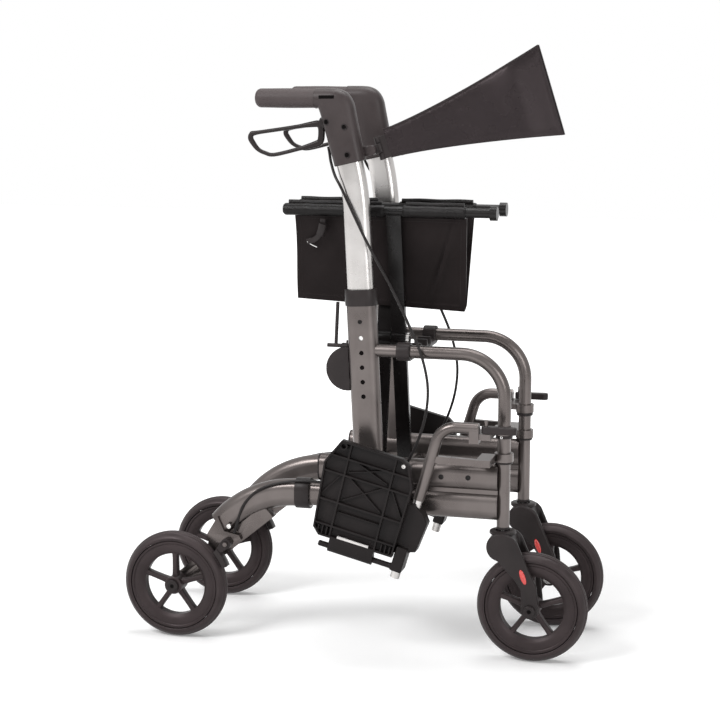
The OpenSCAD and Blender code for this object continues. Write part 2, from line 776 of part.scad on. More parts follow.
module backrest_band(side) {
  swing_x = 12;
  root = 16;
  color("#3a3333") on_side(side) at_back() translate([swing_x, 0, 0]) rotate([0, 0, back_turn]) {
    difference() {
      union() {
        translate([0, -3, -20]) cube([root - 0.2, 6, 40]);
        for (z = [-20, 9]) translate([0, 0, z]) cylinder(r = 5, h = 11);
      }
      translate([0, 0, -8.6]) cylinder(r = 13, h = 17.2);
      translate([0, 0, -60]) cylinder(d = 5 + 2 * fit, h = 120);
    }
    band_body(root);
  }
}

// Cross frame: bar A runs from the right hinge to the left rail, bar B the other way

module cross_bar(x) {
  proud = 0.3;
  color("#4d4646") difference() {
    union() {
      translate([0, -hinge_y, hinge_z]) rotate([-rest_angle, 0, 0]) {
        translate([x - bar_w / 2, -bar_t / 2, 0]) cube([bar_w, bar_t, bar_low + bar_high]);
        along_x(x - bar_w / 2 - proud, 0, bar_low, bar_w + 2 * proud, hinge_pin_d + 14);
      }
      along_x(bar_a_x - bar_w / 2 - proud, -hinge_y, hinge_z, bar_b_x - bar_a_x + bar_w + 2 * proud,
        hinge_pin_d + 10);
      along_x(rail_x[0], rail_y, rail_z, rail_x[1] - rail_x[0], rail_d);
      along_x(rail_x[1] - 1, rail_y, rail_z, 12, rail_d + 8);
    }
    along_x(bar_a_x - bar_w, -hinge_y, hinge_z, bar_b_x - bar_a_x + 2 * bar_w, hinge_pin_d + 2 * fit);
    translate([0, -hinge_y, hinge_z]) rotate([-rest_angle, 0, 0])
      along_x(x - bar_w, 0, bar_low, 2 * bar_w, hinge_pin_d + 2 * fit);
  }
}

module cross_bar_a() { cross_bar(bar_a_x); }

module cross_bar_b() { mirror([0, 1, 0]) cross_bar(bar_b_x); }

module cross_pivot() {
  first = bar_a_x - bar_w / 2;
  last = bar_b_x + bar_w / 2;
  pivot_y = bar_low * sin(rest_angle) - hinge_y;
  pivot_z = hinge_z + bar_low * cos(rest_angle);
  color("#a9a4a2") translate([0, pivot_y, pivot_z]) {
    along_x(first - 1, 0, 0, last - first + 2, hinge_pin_d);
    along_x(first - 6, 0, 0, 5.2, hinge_pin_d + 8);
    along_x(last + 0.8, 0, 0, 5.2, hinge_pin_d + 8);
  }
}

module seat_panel(x) {
  gap = [x - bar_w / 2 - 4, x + bar_w / 2 + 4];
  color("#3a3333") translate([0, rail_y, rail_z]) rotate([-cloth_angle, 0, 0]) difference() {
    union() {
      for (s = [[cloth_x[0], gap[0]], [gap[1], cloth_x[1]]]) along_x(s[0], 0, 0, s[1] - s[0], sleeve_d);
      translate([cloth_x[0], -sleeve_d / 2, -cloth_l]) cube([cloth_x[1] - cloth_x[0], cloth_t, cloth_l]);
    }
    along_x(cloth_x[0] - 1, 0, 0, cloth_x[1] - cloth_x[0] + 2, rail_d + 2 * slack);
  }
}

module seat_panel_a() { seat_panel(bar_a_x); }

module seat_panel_b() { mirror([0, 1, 0]) seat_panel(bar_b_x); }

// Drawing

main_beam(-1);  // main_beam_r
main_beam(1);  // main_beam_l
front_tube(-1);  // front_tube_r
front_tube(1);  // front_tube_l
upright_tube(-1);  // upright_tube_r
upright_tube(1);  // upright_tube_l
frame_collars(-1);  // frame_collars_r
frame_collars(1);  // frame_collars_l
rear_leg(-1);  // rear_leg_r
rear_leg(1);  // rear_leg_l
rear_strut(-1);  // rear_strut_r
rear_strut(1);  // rear_strut_l
seat_rests(-1);  // seat_rests_r
seat_rests(1);  // seat_rests_l
brake_cable(-1);  // brake_cable_r
brake_cable(1);  // brake_cable_l
handle_post(-1);  // handle_post_r
handle_post(1);  // handle_post_l
post_button(-1);  // post_button_r
post_button(1);  // post_button_l
handle_head(-1);  // handle_head_r
handle_head(1);  // handle_head_l
grip(-1);  // grip_r
grip(1);  // grip_l
brake_lever(-1);  // brake_lever_r
brake_lever(1);  // brake_lever_l
brake_arm(-1);  // brake_arm_r
brake_arm(1);  // brake_arm_l
rear_tyre(-1);  // rear_tyre_r
rear_tyre(1);  // rear_tyre_l
rear_rim(-1);  // rear_rim_r
rear_rim(1);  // rear_rim_l
caster_fork(-1);  // caster_fork_r
caster_fork(1);  // caster_fork_l
caster_stem(-1);  // caster_stem_r
caster_stem(1);  // caster_stem_l
front_tyre(-1);  // front_tyre_r
front_tyre(1);  // front_tyre_l
front_rim(-1);  // front_rim_r
front_rim(1);  // front_rim_l
footrest_hanger(-1);  // footrest_hanger_r
footrest_hanger(1);  // footrest_hanger_l
footrest_lever(-1);  // footrest_lever_r
footrest_lever(1);  // footrest_lever_l
footrest_extension(-1);  // footrest_extension_r
footrest_extension(1);  // footrest_extension_l
footplate_hub(-1);  // footplate_hub_r
footplate_hub(1);  // footplate_hub_l
footplate(-1);  // footplate_r
footplate(1);  // footplate_l
backrest_bracket(-1);  // backrest_bracket_r
backrest_bracket(1);  // backrest_bracket_l
backrest_band(-1);  // backrest_band_r
backrest_band(1);  // backrest_band_l
cross_bar_a();
cross_bar_b();
cross_pivot();
seat_panel_a();
seat_panel_b();
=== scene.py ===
import json
import math
import bmesh
import bpy
import numpy as np
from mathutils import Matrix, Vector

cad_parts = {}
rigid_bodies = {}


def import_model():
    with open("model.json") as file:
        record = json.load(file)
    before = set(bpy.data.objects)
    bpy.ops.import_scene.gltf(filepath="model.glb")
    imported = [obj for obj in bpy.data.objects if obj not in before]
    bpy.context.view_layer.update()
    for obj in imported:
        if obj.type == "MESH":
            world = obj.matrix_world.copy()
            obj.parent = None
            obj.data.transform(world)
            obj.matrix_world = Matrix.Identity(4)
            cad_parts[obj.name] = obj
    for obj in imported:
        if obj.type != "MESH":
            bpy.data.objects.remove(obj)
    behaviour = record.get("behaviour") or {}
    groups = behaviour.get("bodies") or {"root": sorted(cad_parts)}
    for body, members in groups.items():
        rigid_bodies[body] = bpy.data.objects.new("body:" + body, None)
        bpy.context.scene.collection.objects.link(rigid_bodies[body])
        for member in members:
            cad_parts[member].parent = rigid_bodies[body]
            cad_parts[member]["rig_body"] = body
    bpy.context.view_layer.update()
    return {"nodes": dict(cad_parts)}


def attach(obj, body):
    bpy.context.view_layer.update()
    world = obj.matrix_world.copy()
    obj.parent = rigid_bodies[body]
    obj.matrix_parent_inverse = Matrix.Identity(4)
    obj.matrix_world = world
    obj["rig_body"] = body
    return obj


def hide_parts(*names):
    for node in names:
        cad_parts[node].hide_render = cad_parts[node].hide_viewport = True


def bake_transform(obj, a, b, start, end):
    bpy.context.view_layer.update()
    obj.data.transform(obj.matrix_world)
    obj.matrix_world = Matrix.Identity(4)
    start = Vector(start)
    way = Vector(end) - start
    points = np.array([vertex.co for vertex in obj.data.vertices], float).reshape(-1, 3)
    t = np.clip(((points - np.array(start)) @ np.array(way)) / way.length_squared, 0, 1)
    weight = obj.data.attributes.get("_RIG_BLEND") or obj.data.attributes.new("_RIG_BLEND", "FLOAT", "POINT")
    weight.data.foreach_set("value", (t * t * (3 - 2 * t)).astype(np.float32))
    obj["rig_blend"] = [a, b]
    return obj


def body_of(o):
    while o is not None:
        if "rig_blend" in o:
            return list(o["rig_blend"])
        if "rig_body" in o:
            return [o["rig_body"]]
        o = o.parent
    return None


# Folded rollator transport chair. Shapes are worked out in millimetres for the right side (negative Y)
# and mirrored for the left; pieces are written in metres in the frame of the CAD.
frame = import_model()
scene = bpy.context.scene
sideSigns = {"r": -1, "l": 1}
chair = dict(sideY=98.5, axleX=316, axleZ=95, wheelY=128, stemX=264, gripZ=946, tyreR=95)
print("frame loaded:", len(frame["nodes"]), "nodes")


# Shapes are pairs of a vertex array and a list of faces. A grid closes on itself along each row.
def gridFaces(rows, cols, closeRows):
    r = np.arange(rows if closeRows else rows - 1)
    i, j = np.meshgrid(r, np.arange(cols), indexing="ij")
    k, m = (i + 1) % rows, (j + 1) % cols
    return np.stack([i * cols + j, k * cols + j, k * cols + m, i * cols + m], -1).reshape(-1, 4).tolist()


# Skin over a grid of points; the first and last rows meet, or else each is closed with a flat face
def skin(points, closeRows=False):
    rows, cols = points.shape[:2]
    faces = gridFaces(rows, cols, closeRows)
    if not closeRows:
        faces += [list(range(cols - 1, -1, -1)), list(range((rows - 1) * cols, rows * cols))]
    return points.reshape(-1, 3), faces


def joined(shapes):
    verts, faces, start = [], [], 0
    for v, f in shapes:
        verts.append(v)
        faces += [[a + start for a in face] for face in f]
        start += len(v)
    return np.concatenate(verts), faces


def unit(v):
    return v / np.linalg.norm(v, axis=-1, keepdims=True)


# Closed section: superellipse of the given power, cols points around
def section(cols, power):
    a = np.linspace(0, 2 * np.pi, cols, endpoint=False)
    c, s = np.cos(a), np.sin(a)
    return np.sign(c) * np.abs(c) ** (2 / power), np.sign(s) * np.abs(s) ** (2 / power)


# Profile along a path: a superellipse of the given width (in the plane of the bend) and height (across)
def sweep(path, width, height, across=(0, 1, 0), power=2.0, cols=20, closed=False):
    path = np.asarray(path, float)
    ahead = np.roll(path, -1, 0) - np.roll(path, 1, 0) if closed else np.gradient(path, axis=0)
    tangent = unit(ahead)
    up = np.asarray(across, float)
    up = unit(up - (tangent @ up)[:, None] * tangent)
    side = np.cross(up, tangent)
    c, s = section(cols, power)
    w = np.broadcast_to(np.asarray(width, float), len(path))[:, None, None] / 2
    h = np.broadcast_to(np.asarray(height, float), len(path))[:, None, None] / 2
    points = path[:, None] + w * c[None, :, None] * side[:, None] + h * s[None, :, None] * up[:, None]
    return skin(points, closeRows=closed)


# Catmull-Rom curve through the points
def spline(points, steps, closed=False):
    p = np.asarray(points, float)
    if closed:
        ends = np.concatenate([p[-1:], p, p[:2]])
    else:
        ends = np.concatenate([2 * p[:1] - p[1:2], p, 2 * p[-1:] - p[-2:-1]])
    a, b, c, d = ends[:-3], ends[1:-2], ends[2:-1], ends[3:]
    t = (np.arange(steps) / steps)[None, :, None]
    a, b, c, d = (q[:, None] for q in (a, b, c, d))
    square = 2 * a - 5 * b + 4 * c - d
    cube = 3 * b - a - 3 * c + d
    curve = 0.5 * (2 * b + (c - a) * t + square * t ** 2 + cube * t ** 3)
    curve = curve.reshape(-1, p.shape[1])
    return curve if closed else np.concatenate([curve, p[-1:]])


axisFrames = {"x": ((0, 1, 0), (0, 0, 1), (1, 0, 0)), "y": ((0, 0, 1), (1, 0, 0), (0, 1, 0)),
              "z": ((1, 0, 0), (0, 1, 0), (0, 0, 1))}


# Turned shape: profile of (radius, distance along the axis) around an axis through the centre
def lathe(profile, centre, axis, cols, closed=False):
    p = np.asarray(profile, float)
    e, f, g = (np.asarray(v, float) for v in axisFrames[axis])
    a = np.linspace(0, 2 * np.pi, cols, endpoint=False)
    ring = np.cos(a)[:, None] * e + np.sin(a)[:, None] * f
    points = np.asarray(centre, float) + p[:, None, :1] * ring[None] + p[:, None, 1:] * g
    return skin(points, closeRows=closed)


# Round screw head on a face that looks toward negative Y, with a socket sunk in it
def screw(x, y, z, radius, depth=1.6):
    head = [(radius, 0.4), (radius, -0.5 * depth), (0.84 * radius, -depth), (0.52 * radius, -1.06 * depth),
            (0.42 * radius, -0.2 * depth), (0.01, -0.15 * depth)]
    return lathe(head, (x, y, z), "y", 30)


# Disc that closes a hole or recess; it carries the painted shade of its floor
def disc(x, y, z, radius, depth=0.6):
    return lathe([(0.01, depth), (radius, depth), (radius, -0.1), (0.01, -0.1)], (x, y, z), "y", 28)


# Where the outer skin of a shape lies at a place in the side view
def outerY(shape, x, z):
    v = shape[0][shape[0][:, 1] < -chair["sideY"]]
    return float(v[np.argmin((v[:, 0] - x) ** 2 + (v[:, 2] - z) ** 2), 1])


def placed(shape, matrix, shift):
    return shape[0] @ np.asarray(matrix, float).T + np.asarray(shift, float), shape[1]


def turnX(a):
    c, s = math.cos(math.radians(a)), math.sin(math.radians(a))
    return np.array([[1, 0, 0], [0, c, -s], [0, s, c]])


def turnY(a):
    c, s = math.cos(math.radians(a)), math.sin(math.radians(a))
    return np.array([[c, 0, s], [0, 1, 0], [-s, 0, c]])


def turnZ(a):
    c, s = math.cos(math.radians(a)), math.sin(math.radians(a))
    return np.array([[c, -s, 0], [s, c, 0], [0, 0, 1]])


def linked(name, data):
    obj = bpy.data.objects.new(name, data)
    scene.collection.objects.link(obj)
    return obj


# Makes the object; sign +1 mirrors the shape to the left side
def piece(name, shape, label, sign, sharp):
    verts = shape[0] * 0.001
    if sign > 0:
        verts = verts * np.array([1, -1, 1])
    mesh = bpy.data.meshes.new(name)
    mesh.from_pydata(verts.tolist(), [], shape[1])
    tidyMesh(mesh, sharp)
    mesh.materials.append(finishes[label])
    return linked(name, mesh)


# Merges doubled vertices, turns the faces outward and shades smooth up to the sharp angle
def tidyMesh(mesh, sharp):
    bm = bmesh.new()
    bm.from_mesh(mesh)
    bmesh.ops.remove_doubles(bm, verts=bm.verts, dist=1e-6)
    bmesh.ops.recalc_face_normals(bm, faces=bm.faces)
    bm.to_mesh(mesh)
    bm.free()
    mesh.polygons.foreach_set("use_smooth", np.ones(len(mesh.polygons), bool))
    mesh.set_sharp_from_angle(angle=math.radians(sharp))
    mesh.update()


# Puts the result of an object's modifiers in place of its mesh
def settled(obj, label):
    raw = obj.data
    graph = bpy.context.evaluated_depsgraph_get()
    done = bpy.data.meshes.new_from_object(obj.evaluated_get(graph))
    obj.modifiers.clear()
    obj.data = done
    bpy.data.meshes.remove(raw)
    done.materials.clear()
    done.materials.append(finishes[label])
    return done


# Moulded look of a CAD node: its solid is filled with small voxels and the skin is eased round
def moulded(node, name, label, voxel, rounds):
    mesh = frame["nodes"][node].data.copy()
    obj = linked(name, mesh)
    tidyMesh(mesh, 180)
    remesh = obj.modifiers.new("fill", "REMESH")
    remesh.mode = "VOXEL"
    remesh.voxel_size = voxel * 0.001
    ease = obj.modifiers.new("ease", "SMOOTH")
    ease.factor = 0.5
    ease.iterations = rounds
    done = settled(obj, label)
    done.polygons.foreach_set("use_smooth", np.ones(len(done.polygons), bool))
    return obj


# Copy of a CAD node with its flat faces made whole and its edges broken by a small bevel
def bevelled(node, name, label, width):
    mesh = frame["nodes"][node].data.copy()
    bm = bmesh.new()
    bm.from_mesh(mesh)
    bmesh.ops.remove_doubles(bm, verts=bm.verts, dist=1e-6)
    bmesh.ops.dissolve_limit(bm, angle_limit=math.radians(1), verts=bm.verts, edges=bm.edges)
    bm.to_mesh(mesh)
    bm.free()
    obj = linked(name, mesh)
    bevel = obj.modifiers.new("edges", "BEVEL")
    bevel.width = width * 0.001
    bevel.segments = 2
    bevel.limit_method = "ANGLE"
    bevel.angle_limit = math.radians(45)
    tidyMesh(settled(obj, label), 32)
    return obj


# Materials: small groups give grain, brushing, weave and prism cells; each finish sets its own values

def nodeGroup(name, inputs, outputs):
    tree = bpy.data.node_groups.new(name, "ShaderNodeTree")
    for label, value in inputs.items():
        socket = tree.interface.new_socket(label, in_out="INPUT", socket_type="NodeSocketFloat")
        socket.default_value = value
    for label in outputs:
        tree.interface.new_socket(label, in_out="OUTPUT", socket_type="NodeSocketFloat")
    return tree, tree.nodes.new("NodeGroupInput"), tree.nodes.new("NodeGroupOutput")


def mathNode(tree, operation, a, b):
    node = tree.nodes.new("ShaderNodeMath")
    node.operation = operation
    for k, value in enumerate((a, b)):
        if isinstance(value, (int, float)):
            node.inputs[k].default_value = value
        else:
            tree.links.new(value, node.inputs[k])
    return node.outputs[0]


def noiseNode(tree, vector, scale, detail):
    node = tree.nodes.new("ShaderNodeTexNoise")
    node.inputs["Detail"].default_value = detail
    tree.links.new(vector, node.inputs["Vector"])
    if isinstance(scale, (int, float)):
        node.inputs["Scale"].default_value = scale
    else:
        tree.links.new(scale, node.inputs["Scale"])
    return node.outputs["Fac"]


def scaledCoords(tree, scale):
    coords = tree.nodes.new("ShaderNodeTexCoord")
    mapping = tree.nodes.new("ShaderNodeMapping")
    mapping.inputs["Scale"].default_value = scale
    tree.links.new(coords.outputs["Object"], mapping.inputs["Vector"])
    return mapping.outputs["Vector"]


# Fine grain for the bump and slow patches for the tone
def grainGroup():
    tree, given, out = nodeGroup("grain", {"Grain": 900.0, "Patch": 14.0}, ("Height", "Tone"))
    coords = scaledCoords(tree, (1, 1, 1))
    tree.links.new(noiseNode(tree, coords, given.outputs["Grain"], 3.0), out.inputs["Height"])
    tree.links.new(noiseNode(tree, coords, given.outputs["Patch"], 4.0), out.inputs["Tone"])
    return tree


# Brushed metal: streaks drawn out along the tube
def brushedGroup():
    tree, given, out = nodeGroup("brushed", {"Grain": 700.0, "Patch": 20.0}, ("Height", "Tone"))
    streak = scaledCoords(tree, (1, 1, 0.03))
    plain = scaledCoords(tree, (1, 1, 1))
    tree.links.new(noiseNode(tree, streak, given.outputs["Grain"], 2.0), out.inputs["Height"])
    tree.links.new(noiseNode(tree, plain, given.outputs["Patch"], 4.0), out.inputs["Tone"])
    return tree


# Woven cloth: two sets of threads that cross, over slow patches
def weaveGroup():
    tree, given, out = nodeGroup("weave", {"Grain": 900.0, "Patch": 18.0}, ("Height", "Tone"))
    coords = scaledCoords(tree, (1, 1, 1))
    threads = []
    for direction in ("X", "Z"):
        wave = tree.nodes.new("ShaderNodeTexWave")
        wave.bands_direction = direction
        wave.inputs["Distortion"].default_value = 0.6
        tree.links.new(coords, wave.inputs["Vector"])
        tree.links.new(given.outputs["Grain"], wave.inputs["Scale"])
        threads.append(wave.outputs["Fac"])
    cross = mathNode(tree, "MULTIPLY", threads[0], threads[1])
    fuzz = mathNode(tree, "MULTIPLY", noiseNode(tree, coords, 1500.0, 2.0), 0.4)
    tree.links.new(mathNode(tree, "ADD", cross, fuzz), out.inputs["Height"])
    tree.links.new(noiseNode(tree, coords, given.outputs["Patch"], 5.0), out.inputs["Tone"])
    return tree


# Prism cells of a reflector
def prismGroup():
    tree, given, out = nodeGroup("prism", {"Grain": 420.0, "Patch": 30.0}, ("Height", "Tone"))
    coords = scaledCoords(tree, (1, 1, 1))
    cells = tree.nodes.new("ShaderNodeTexVoronoi")
    tree.links.new(coords, cells.inputs["Vector"])
    tree.links.new(given.outputs["Grain"], cells.inputs["Scale"])
    tree.links.new(cells.outputs["Distance"], out.inputs["Height"])
    tree.links.new(noiseNode(tree, coords, given.outputs["Patch"], 2.0), out.inputs["Tone"])
    return tree


groups = {"grain": grainGroup(), "brushed": brushedGroup(), "weave": weaveGroup(), "prism": prismGroup()}


# dark and light are the two tones, rough a range; bump is in millimetres
def finish(name, dark, light, rough, metallic=0.0, group="grain", grain=900.0, patch=14.0, bump=0.02,
           coat=0.0, shine=0.5, tint=(1.0, 1.0, 1.0)):
    mat = bpy.data.materials.new(name)
    mat.use_nodes = True
    tree = mat.node_tree
    shader = next(n for n in tree.nodes if n.type == "BSDF_PRINCIPLED")
    shader.inputs["Metallic"].default_value = metallic
    shader.inputs["Coat Weight"].default_value = coat
    shader.inputs["Specular IOR Level"].default_value = shine
    shader.inputs["Specular Tint"].default_value = (*tint, 1)
    detail = tree.nodes.new("ShaderNodeGroup")
    detail.node_tree = groups[group]
    detail.inputs["Grain"].default_value = grain
    detail.inputs["Patch"].default_value = patch
    spread = tree.nodes.new("ShaderNodeMapRange")
    spread.inputs["From Min"].default_value = 0.35
    spread.inputs["From Max"].default_value = 0.65
    tree.links.new(detail.outputs["Tone"], spread.inputs["Value"])
    tones = tree.nodes.new("ShaderNodeMix")
    tones.data_type = "RGBA"
    tones.inputs["A"].default_value = (*dark, 1)
    tones.inputs["B"].default_value = (*light, 1)
    tree.links.new(spread.outputs["Result"], tones.inputs["Factor"])
    tree.links.new(tones.outputs["Result"], shader.inputs["Base Color"])
    gloss = tree.nodes.new("ShaderNodeMapRange")
    gloss.inputs["To Min"].default_value = rough[0]
    gloss.inputs["To Max"].default_value = rough[1]
    tree.links.new(spread.outputs["Result"], gloss.inputs["Value"])
    tree.links.new(gloss.outputs["Result"], shader.inputs["Roughness"])
    relief = tree.nodes.new("ShaderNodeBump")
    relief.inputs["Distance"].default_value = bump * 0.001
    tree.links.new(detail.outputs["Height"], relief.inputs["Height"])
    tree.links.new(relief.outputs["Normal"], shader.inputs["Normal"])
    return mat


warmTint = (1.0, 0.86, 0.88)
finishValues = {
    "framePaint": dict(dark=(0.098, 0.084, 0.080), light=(0.132, 0.115, 0.110), rough=(0.25, 0.34),
                       metallic=0.8, bump=0.03),
    "darkPaint": dict(dark=(0.006, 0.005, 0.005), light=(0.010, 0.0085, 0.0085), rough=(0.20, 0.30),
                      bump=0.03, shine=0.2),
    "silverTube": dict(dark=(0.45, 0.432, 0.42), light=(0.54, 0.522, 0.51), rough=(0.22, 0.32), metallic=0.95,
                       group="brushed", bump=0.03),
    "brightSteel": dict(dark=(0.58, 0.57, 0.56), light=(0.72, 0.71, 0.70), rough=(0.18, 0.3), metallic=1.0,
                        bump=0.01),
    "blackPlastic": dict(dark=(0.020, 0.0162, 0.0162), light=(0.031, 0.0255, 0.0255), rough=(0.32, 0.44),
                         grain=1500.0, bump=0.05, shine=0.15),
    "deepPlastic": dict(dark=(0.009, 0.0072, 0.0072), light=(0.015, 0.0122, 0.0122), rough=(0.34, 0.46),
                        grain=1500.0, bump=0.05, shine=0.13),
    "greyPlastic": dict(dark=(0.040, 0.0315, 0.0315), light=(0.054, 0.0435, 0.0435), rough=(0.32, 0.44),
                        grain=1500.0, bump=0.05, shine=0.2),
    "gripRubber": dict(dark=(0.055, 0.044, 0.044), light=(0.070, 0.057, 0.057), rough=(0.45, 0.58),
                       grain=1100.0, bump=0.10, shine=0.2),
    "tyreRubber": dict(dark=(0.024, 0.0185, 0.0187), light=(0.036, 0.028, 0.0285), rough=(0.38, 0.52),
                       grain=700.0, patch=30.0, bump=0.12, shine=0.25, tint=warmTint),
    "rimPlastic": dict(dark=(0.024, 0.0185, 0.0187), light=(0.037, 0.0285, 0.029), rough=(0.32, 0.44),
                       grain=1500.0, bump=0.05, shine=0.2, tint=warmTint),
    "cableJacket": dict(dark=(0.010, 0.008, 0.008), light=(0.015, 0.0125, 0.0125), rough=(0.30, 0.40),
                        shine=0.2),
    "seatFabric": dict(dark=(0.0040, 0.0030, 0.0030), light=(0.0085, 0.0066, 0.0066), rough=(0.28, 0.38),
                       group="weave", grain=330.0, bump=0.15, shine=0.13, tint=(1.0, 0.84, 0.84)),
    "bandFabric": dict(dark=(0.0065, 0.0048, 0.0052), light=(0.0115, 0.0087, 0.0092), rough=(0.22, 0.32),
                       group="weave", grain=330.0, bump=0.10, shine=0.27, tint=(1.0, 0.84, 0.87)),
    "sleeveFabric": dict(dark=(0.005, 0.004, 0.004), light=(0.009, 0.0075, 0.0075), rough=(0.24, 0.36),
                         group="weave", grain=330.0, bump=0.10, shine=0.16),
    "thread": dict(dark=(0.030, 0.026, 0.026), light=(0.044, 0.039, 0.039), rough=(0.6, 0.7),
                   grain=1200.0, bump=0.1, shine=0.15),
    "reflector": dict(dark=(0.55, 0.016, 0.012), light=(0.68, 0.028, 0.02), rough=(0.12, 0.2), group="prism",
                      bump=0.4, coat=1.0),
    # Painted shade: near-black fill for the floors of holes, sockets and slots, which lie in shade
    "darkHole": dict(dark=(0.003, 0.0025, 0.0025), light=(0.006, 0.005, 0.005), rough=(0.6, 0.7), shine=0.03),
}
finishes = {name: finish(name, **values) for name, values in finishValues.items()}

# Nodes that show as they are in the CAD; the start of the name picks the finish
nodeFinish = {
    "main_beam": "framePaint", "front_tube": "framePaint", "upright_tube": "framePaint",
    "rear_leg": "framePaint", "footrest_hanger": "framePaint", "cross_bar": "darkPaint",
    "handle_post": "silverTube", "footrest_extension": "silverTube", "post_button": "brightSteel",
    "caster_stem": "brightSteel", "cross_pivot": "brightSteel",
}
for nodeName, node in frame["nodes"].items():
    for start, label in nodeFinish.items():
        if nodeName.startswith(start):
            for slot in node.material_slots:
                slot.material = finishes[label]
print("finishes:", len(finishes))

# Wheels: tyre with four tread grooves, rim with a lip, a groove line, five spokes and a ringed hub
wheel = dict(crown=20.0, half=17.0, grooveH=(2.6, 7.8), grooveW=0.9, grooveD=2.0, ringIn=55.5, hubR=16.0,
             spokes=5, spokeW=9.5, spokeT=(17.0, 15.0), spokeSink=3.0, flare=0.35)


# Closed profile from its half on the positive side of the axis
def bothSides(half):
    return np.array(half + [(x, -y) for x, y in half[::-1]])


# Half circle of the crown, cut at the sidewalls and dipped at the grooves
def tyreShape(centre):
    reach = math.asin(wheel["half"] / wheel["crown"])
    a = np.linspace(-reach, reach, 81)
    h = wheel["crown"] * np.sin(a)
    dip = sum(wheel["grooveD"] * np.exp(-((np.abs(h) - at) / wheel["grooveW"]) ** 2)
              for at in wheel["grooveH"])
    r = chair["tyreR"] - wheel["crown"] + wheel["crown"] * np.cos(a) - dip
    side = wheel["half"]
    inner = [(84.0, side), (82.6, side - 0.2), (82.0, side - 0.9), (81.0, side - 0.9), (80.2, side - 1.6)]
    outerSide = np.array([(x, -y) for x, y in inner[::-1]])
    profile = np.concatenate([outerSide, np.stack([r, h], 1), np.array(inner)])
    return lathe(profile, centre, "y", 144, closed=True)


# Ring with a lip and a groove, hub with rings, and spokes that flare at both ends
def rimShape(centre):
    half = [(79.6, 13.0), (78.4, 14.4), (75.6, 14.6), (74.6, 13.2), (73.6, 12.6), (72.4, 13.0), (66, 12.6),
            (60.5, 11.0), (58.6, 9.6), (wheel["ringIn"], 7.5)]
    ring = lathe(bothSides(half), centre, "y", 120, closed=True)
    hub = [(6.5, 18.4), (9.5, 18.4), (10, 17.6), (11.2, 17.6), (11.8, 18.2), (14.2, 18.0), (15.6, 17.0),
           (wheel["hubR"], 15.2), (15.4, 11.0)]
    body = lathe(bothSides(hub), centre, "y", 60, closed=True)
    parts = [ring, body]
    reach = np.linspace(wheel["hubR"] - wheel["spokeSink"], wheel["ringIn"] + wheel["spokeSink"], 14)
    ease = (reach - reach[0]) / (reach[-1] - reach[0])
    wide = wheel["spokeW"] * (1 + wheel["flare"] * (2 * ease - 1) ** 4)
    thick = wheel["spokeT"][0] + (wheel["spokeT"][1] - wheel["spokeT"][0]) * ease
    for k in range(wheel["spokes"]):
        a = math.radians(90 + 360 * k / wheel["spokes"])
        line = np.stack([reach * math.cos(a), 0 * reach, reach * math.sin(a)], 1) + centre
        parts.append(sweep(line, wide, thick, power=3.6, cols=28))
    return joined(parts)


wheelAt = {"rear": (-chair["axleX"], -chair["wheelY"], chair["axleZ"]),
           "front": (chair["axleX"], -chair["sideY"], chair["axleZ"])}
for tag, sign in sideSigns.items():
    for place, spot in wheelAt.items():
        hubAt = np.array(spot)
        tyre = piece(place + "Tyre_" + tag, tyreShape(hubAt), "tyreRubber", sign, 30)
        rim = piece(place + "Rim_" + tag, rimShape(hubAt), "rimPlastic", sign, 34)
        for obj, node in ((tyre, "_tyre_"), (rim, "_rim_")):
            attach(obj, "wheel_" + place + "_" + tag)
            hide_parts(place + node + tag)
print("wheels done")

# Handle head: sections from an inner edge to an outer edge, straight up the column and fanned at the elbow
head = dict(columnT=37.0, stubT=35.0)
headInner = [(-29.5, 834), (-31.5, 842), (-37, 860), (-46, 893), (-53, 917), (-56.5, 927.5), (-57.8, 929.6),
             (-58.4, 929.8), (-59, 929.6), (-60, 929.3), (-62.6, 928.9)]
headOuter = [(22.0, 846), (20.4, 853), (16.6, 870), (10.6, 899), (6.4, 920), (3.2, 936), (-2, 947.5),
             (-9.5, 956), (-19.5, 961), (-32, 963), (-62.6, 963.1)]


# The section grows rounder and thinner toward the stub that carries the grip, and the lower lip is eased in
def headShape():
    inner, outer = spline(headInner, 6), spline(headOuter, 6)
    turn = np.linspace(0, 1, len(inner))
    thick = head["columnT"] + (head["stubT"] - head["columnT"]) * np.clip(turn * 2 - 1, 0, 1)
    power = 3.0 - np.clip(turn * 2.4 - 1.4, 0, 1)
    centre, span = (inner + outer) / 2, (outer - inner) / 2
    rows = []
    for k in range(len(inner)):
        c, s = section(56, power[k])
        x, z = centre[k][:, None] + span[k][:, None] * c[None]
        rows.append(np.stack([x, -chair["sideY"] + thick[k] / 2 * s, z], 1))
    lip = np.array(rows[0])
    middle = lip.mean(0)
    first = middle + (lip - middle) * 0.94 - np.array([-0.3, 0, 1.2])
    return skin(np.stack([first] + rows))


# Boss that carries the hinge of the backrest, and the hinge pin
def headEar():
    earY = -89.6
    hingeAt = (30, 0, 860)
    arm = sweep([(4, earY, 857), (17, earY, 858.5), (30, earY, 860)], 17, 7.6, power=4, cols=32)
    eye = lathe([(8.2, -93.3), (8.5, -92.6), (8.5, -86.6), (8.2, -85.8)], hingeAt, "y", 40)
    pin = lathe([(3.9, -86), (3.9, -66), (3.4, -64.6)], hingeAt, "y", 32)
    return joined([arm, eye, pin])


# Rubber grip: slight belly, fine ribs and a rounded end
grip = dict(frontX=-63.2, length=95.0, radius=16.2, belly=0.25, ribHigh=0.07, ribPitch=3.2, ribbed=(8, 88),
            endR=6.2, endDepth=9.8, boreR=11.2)


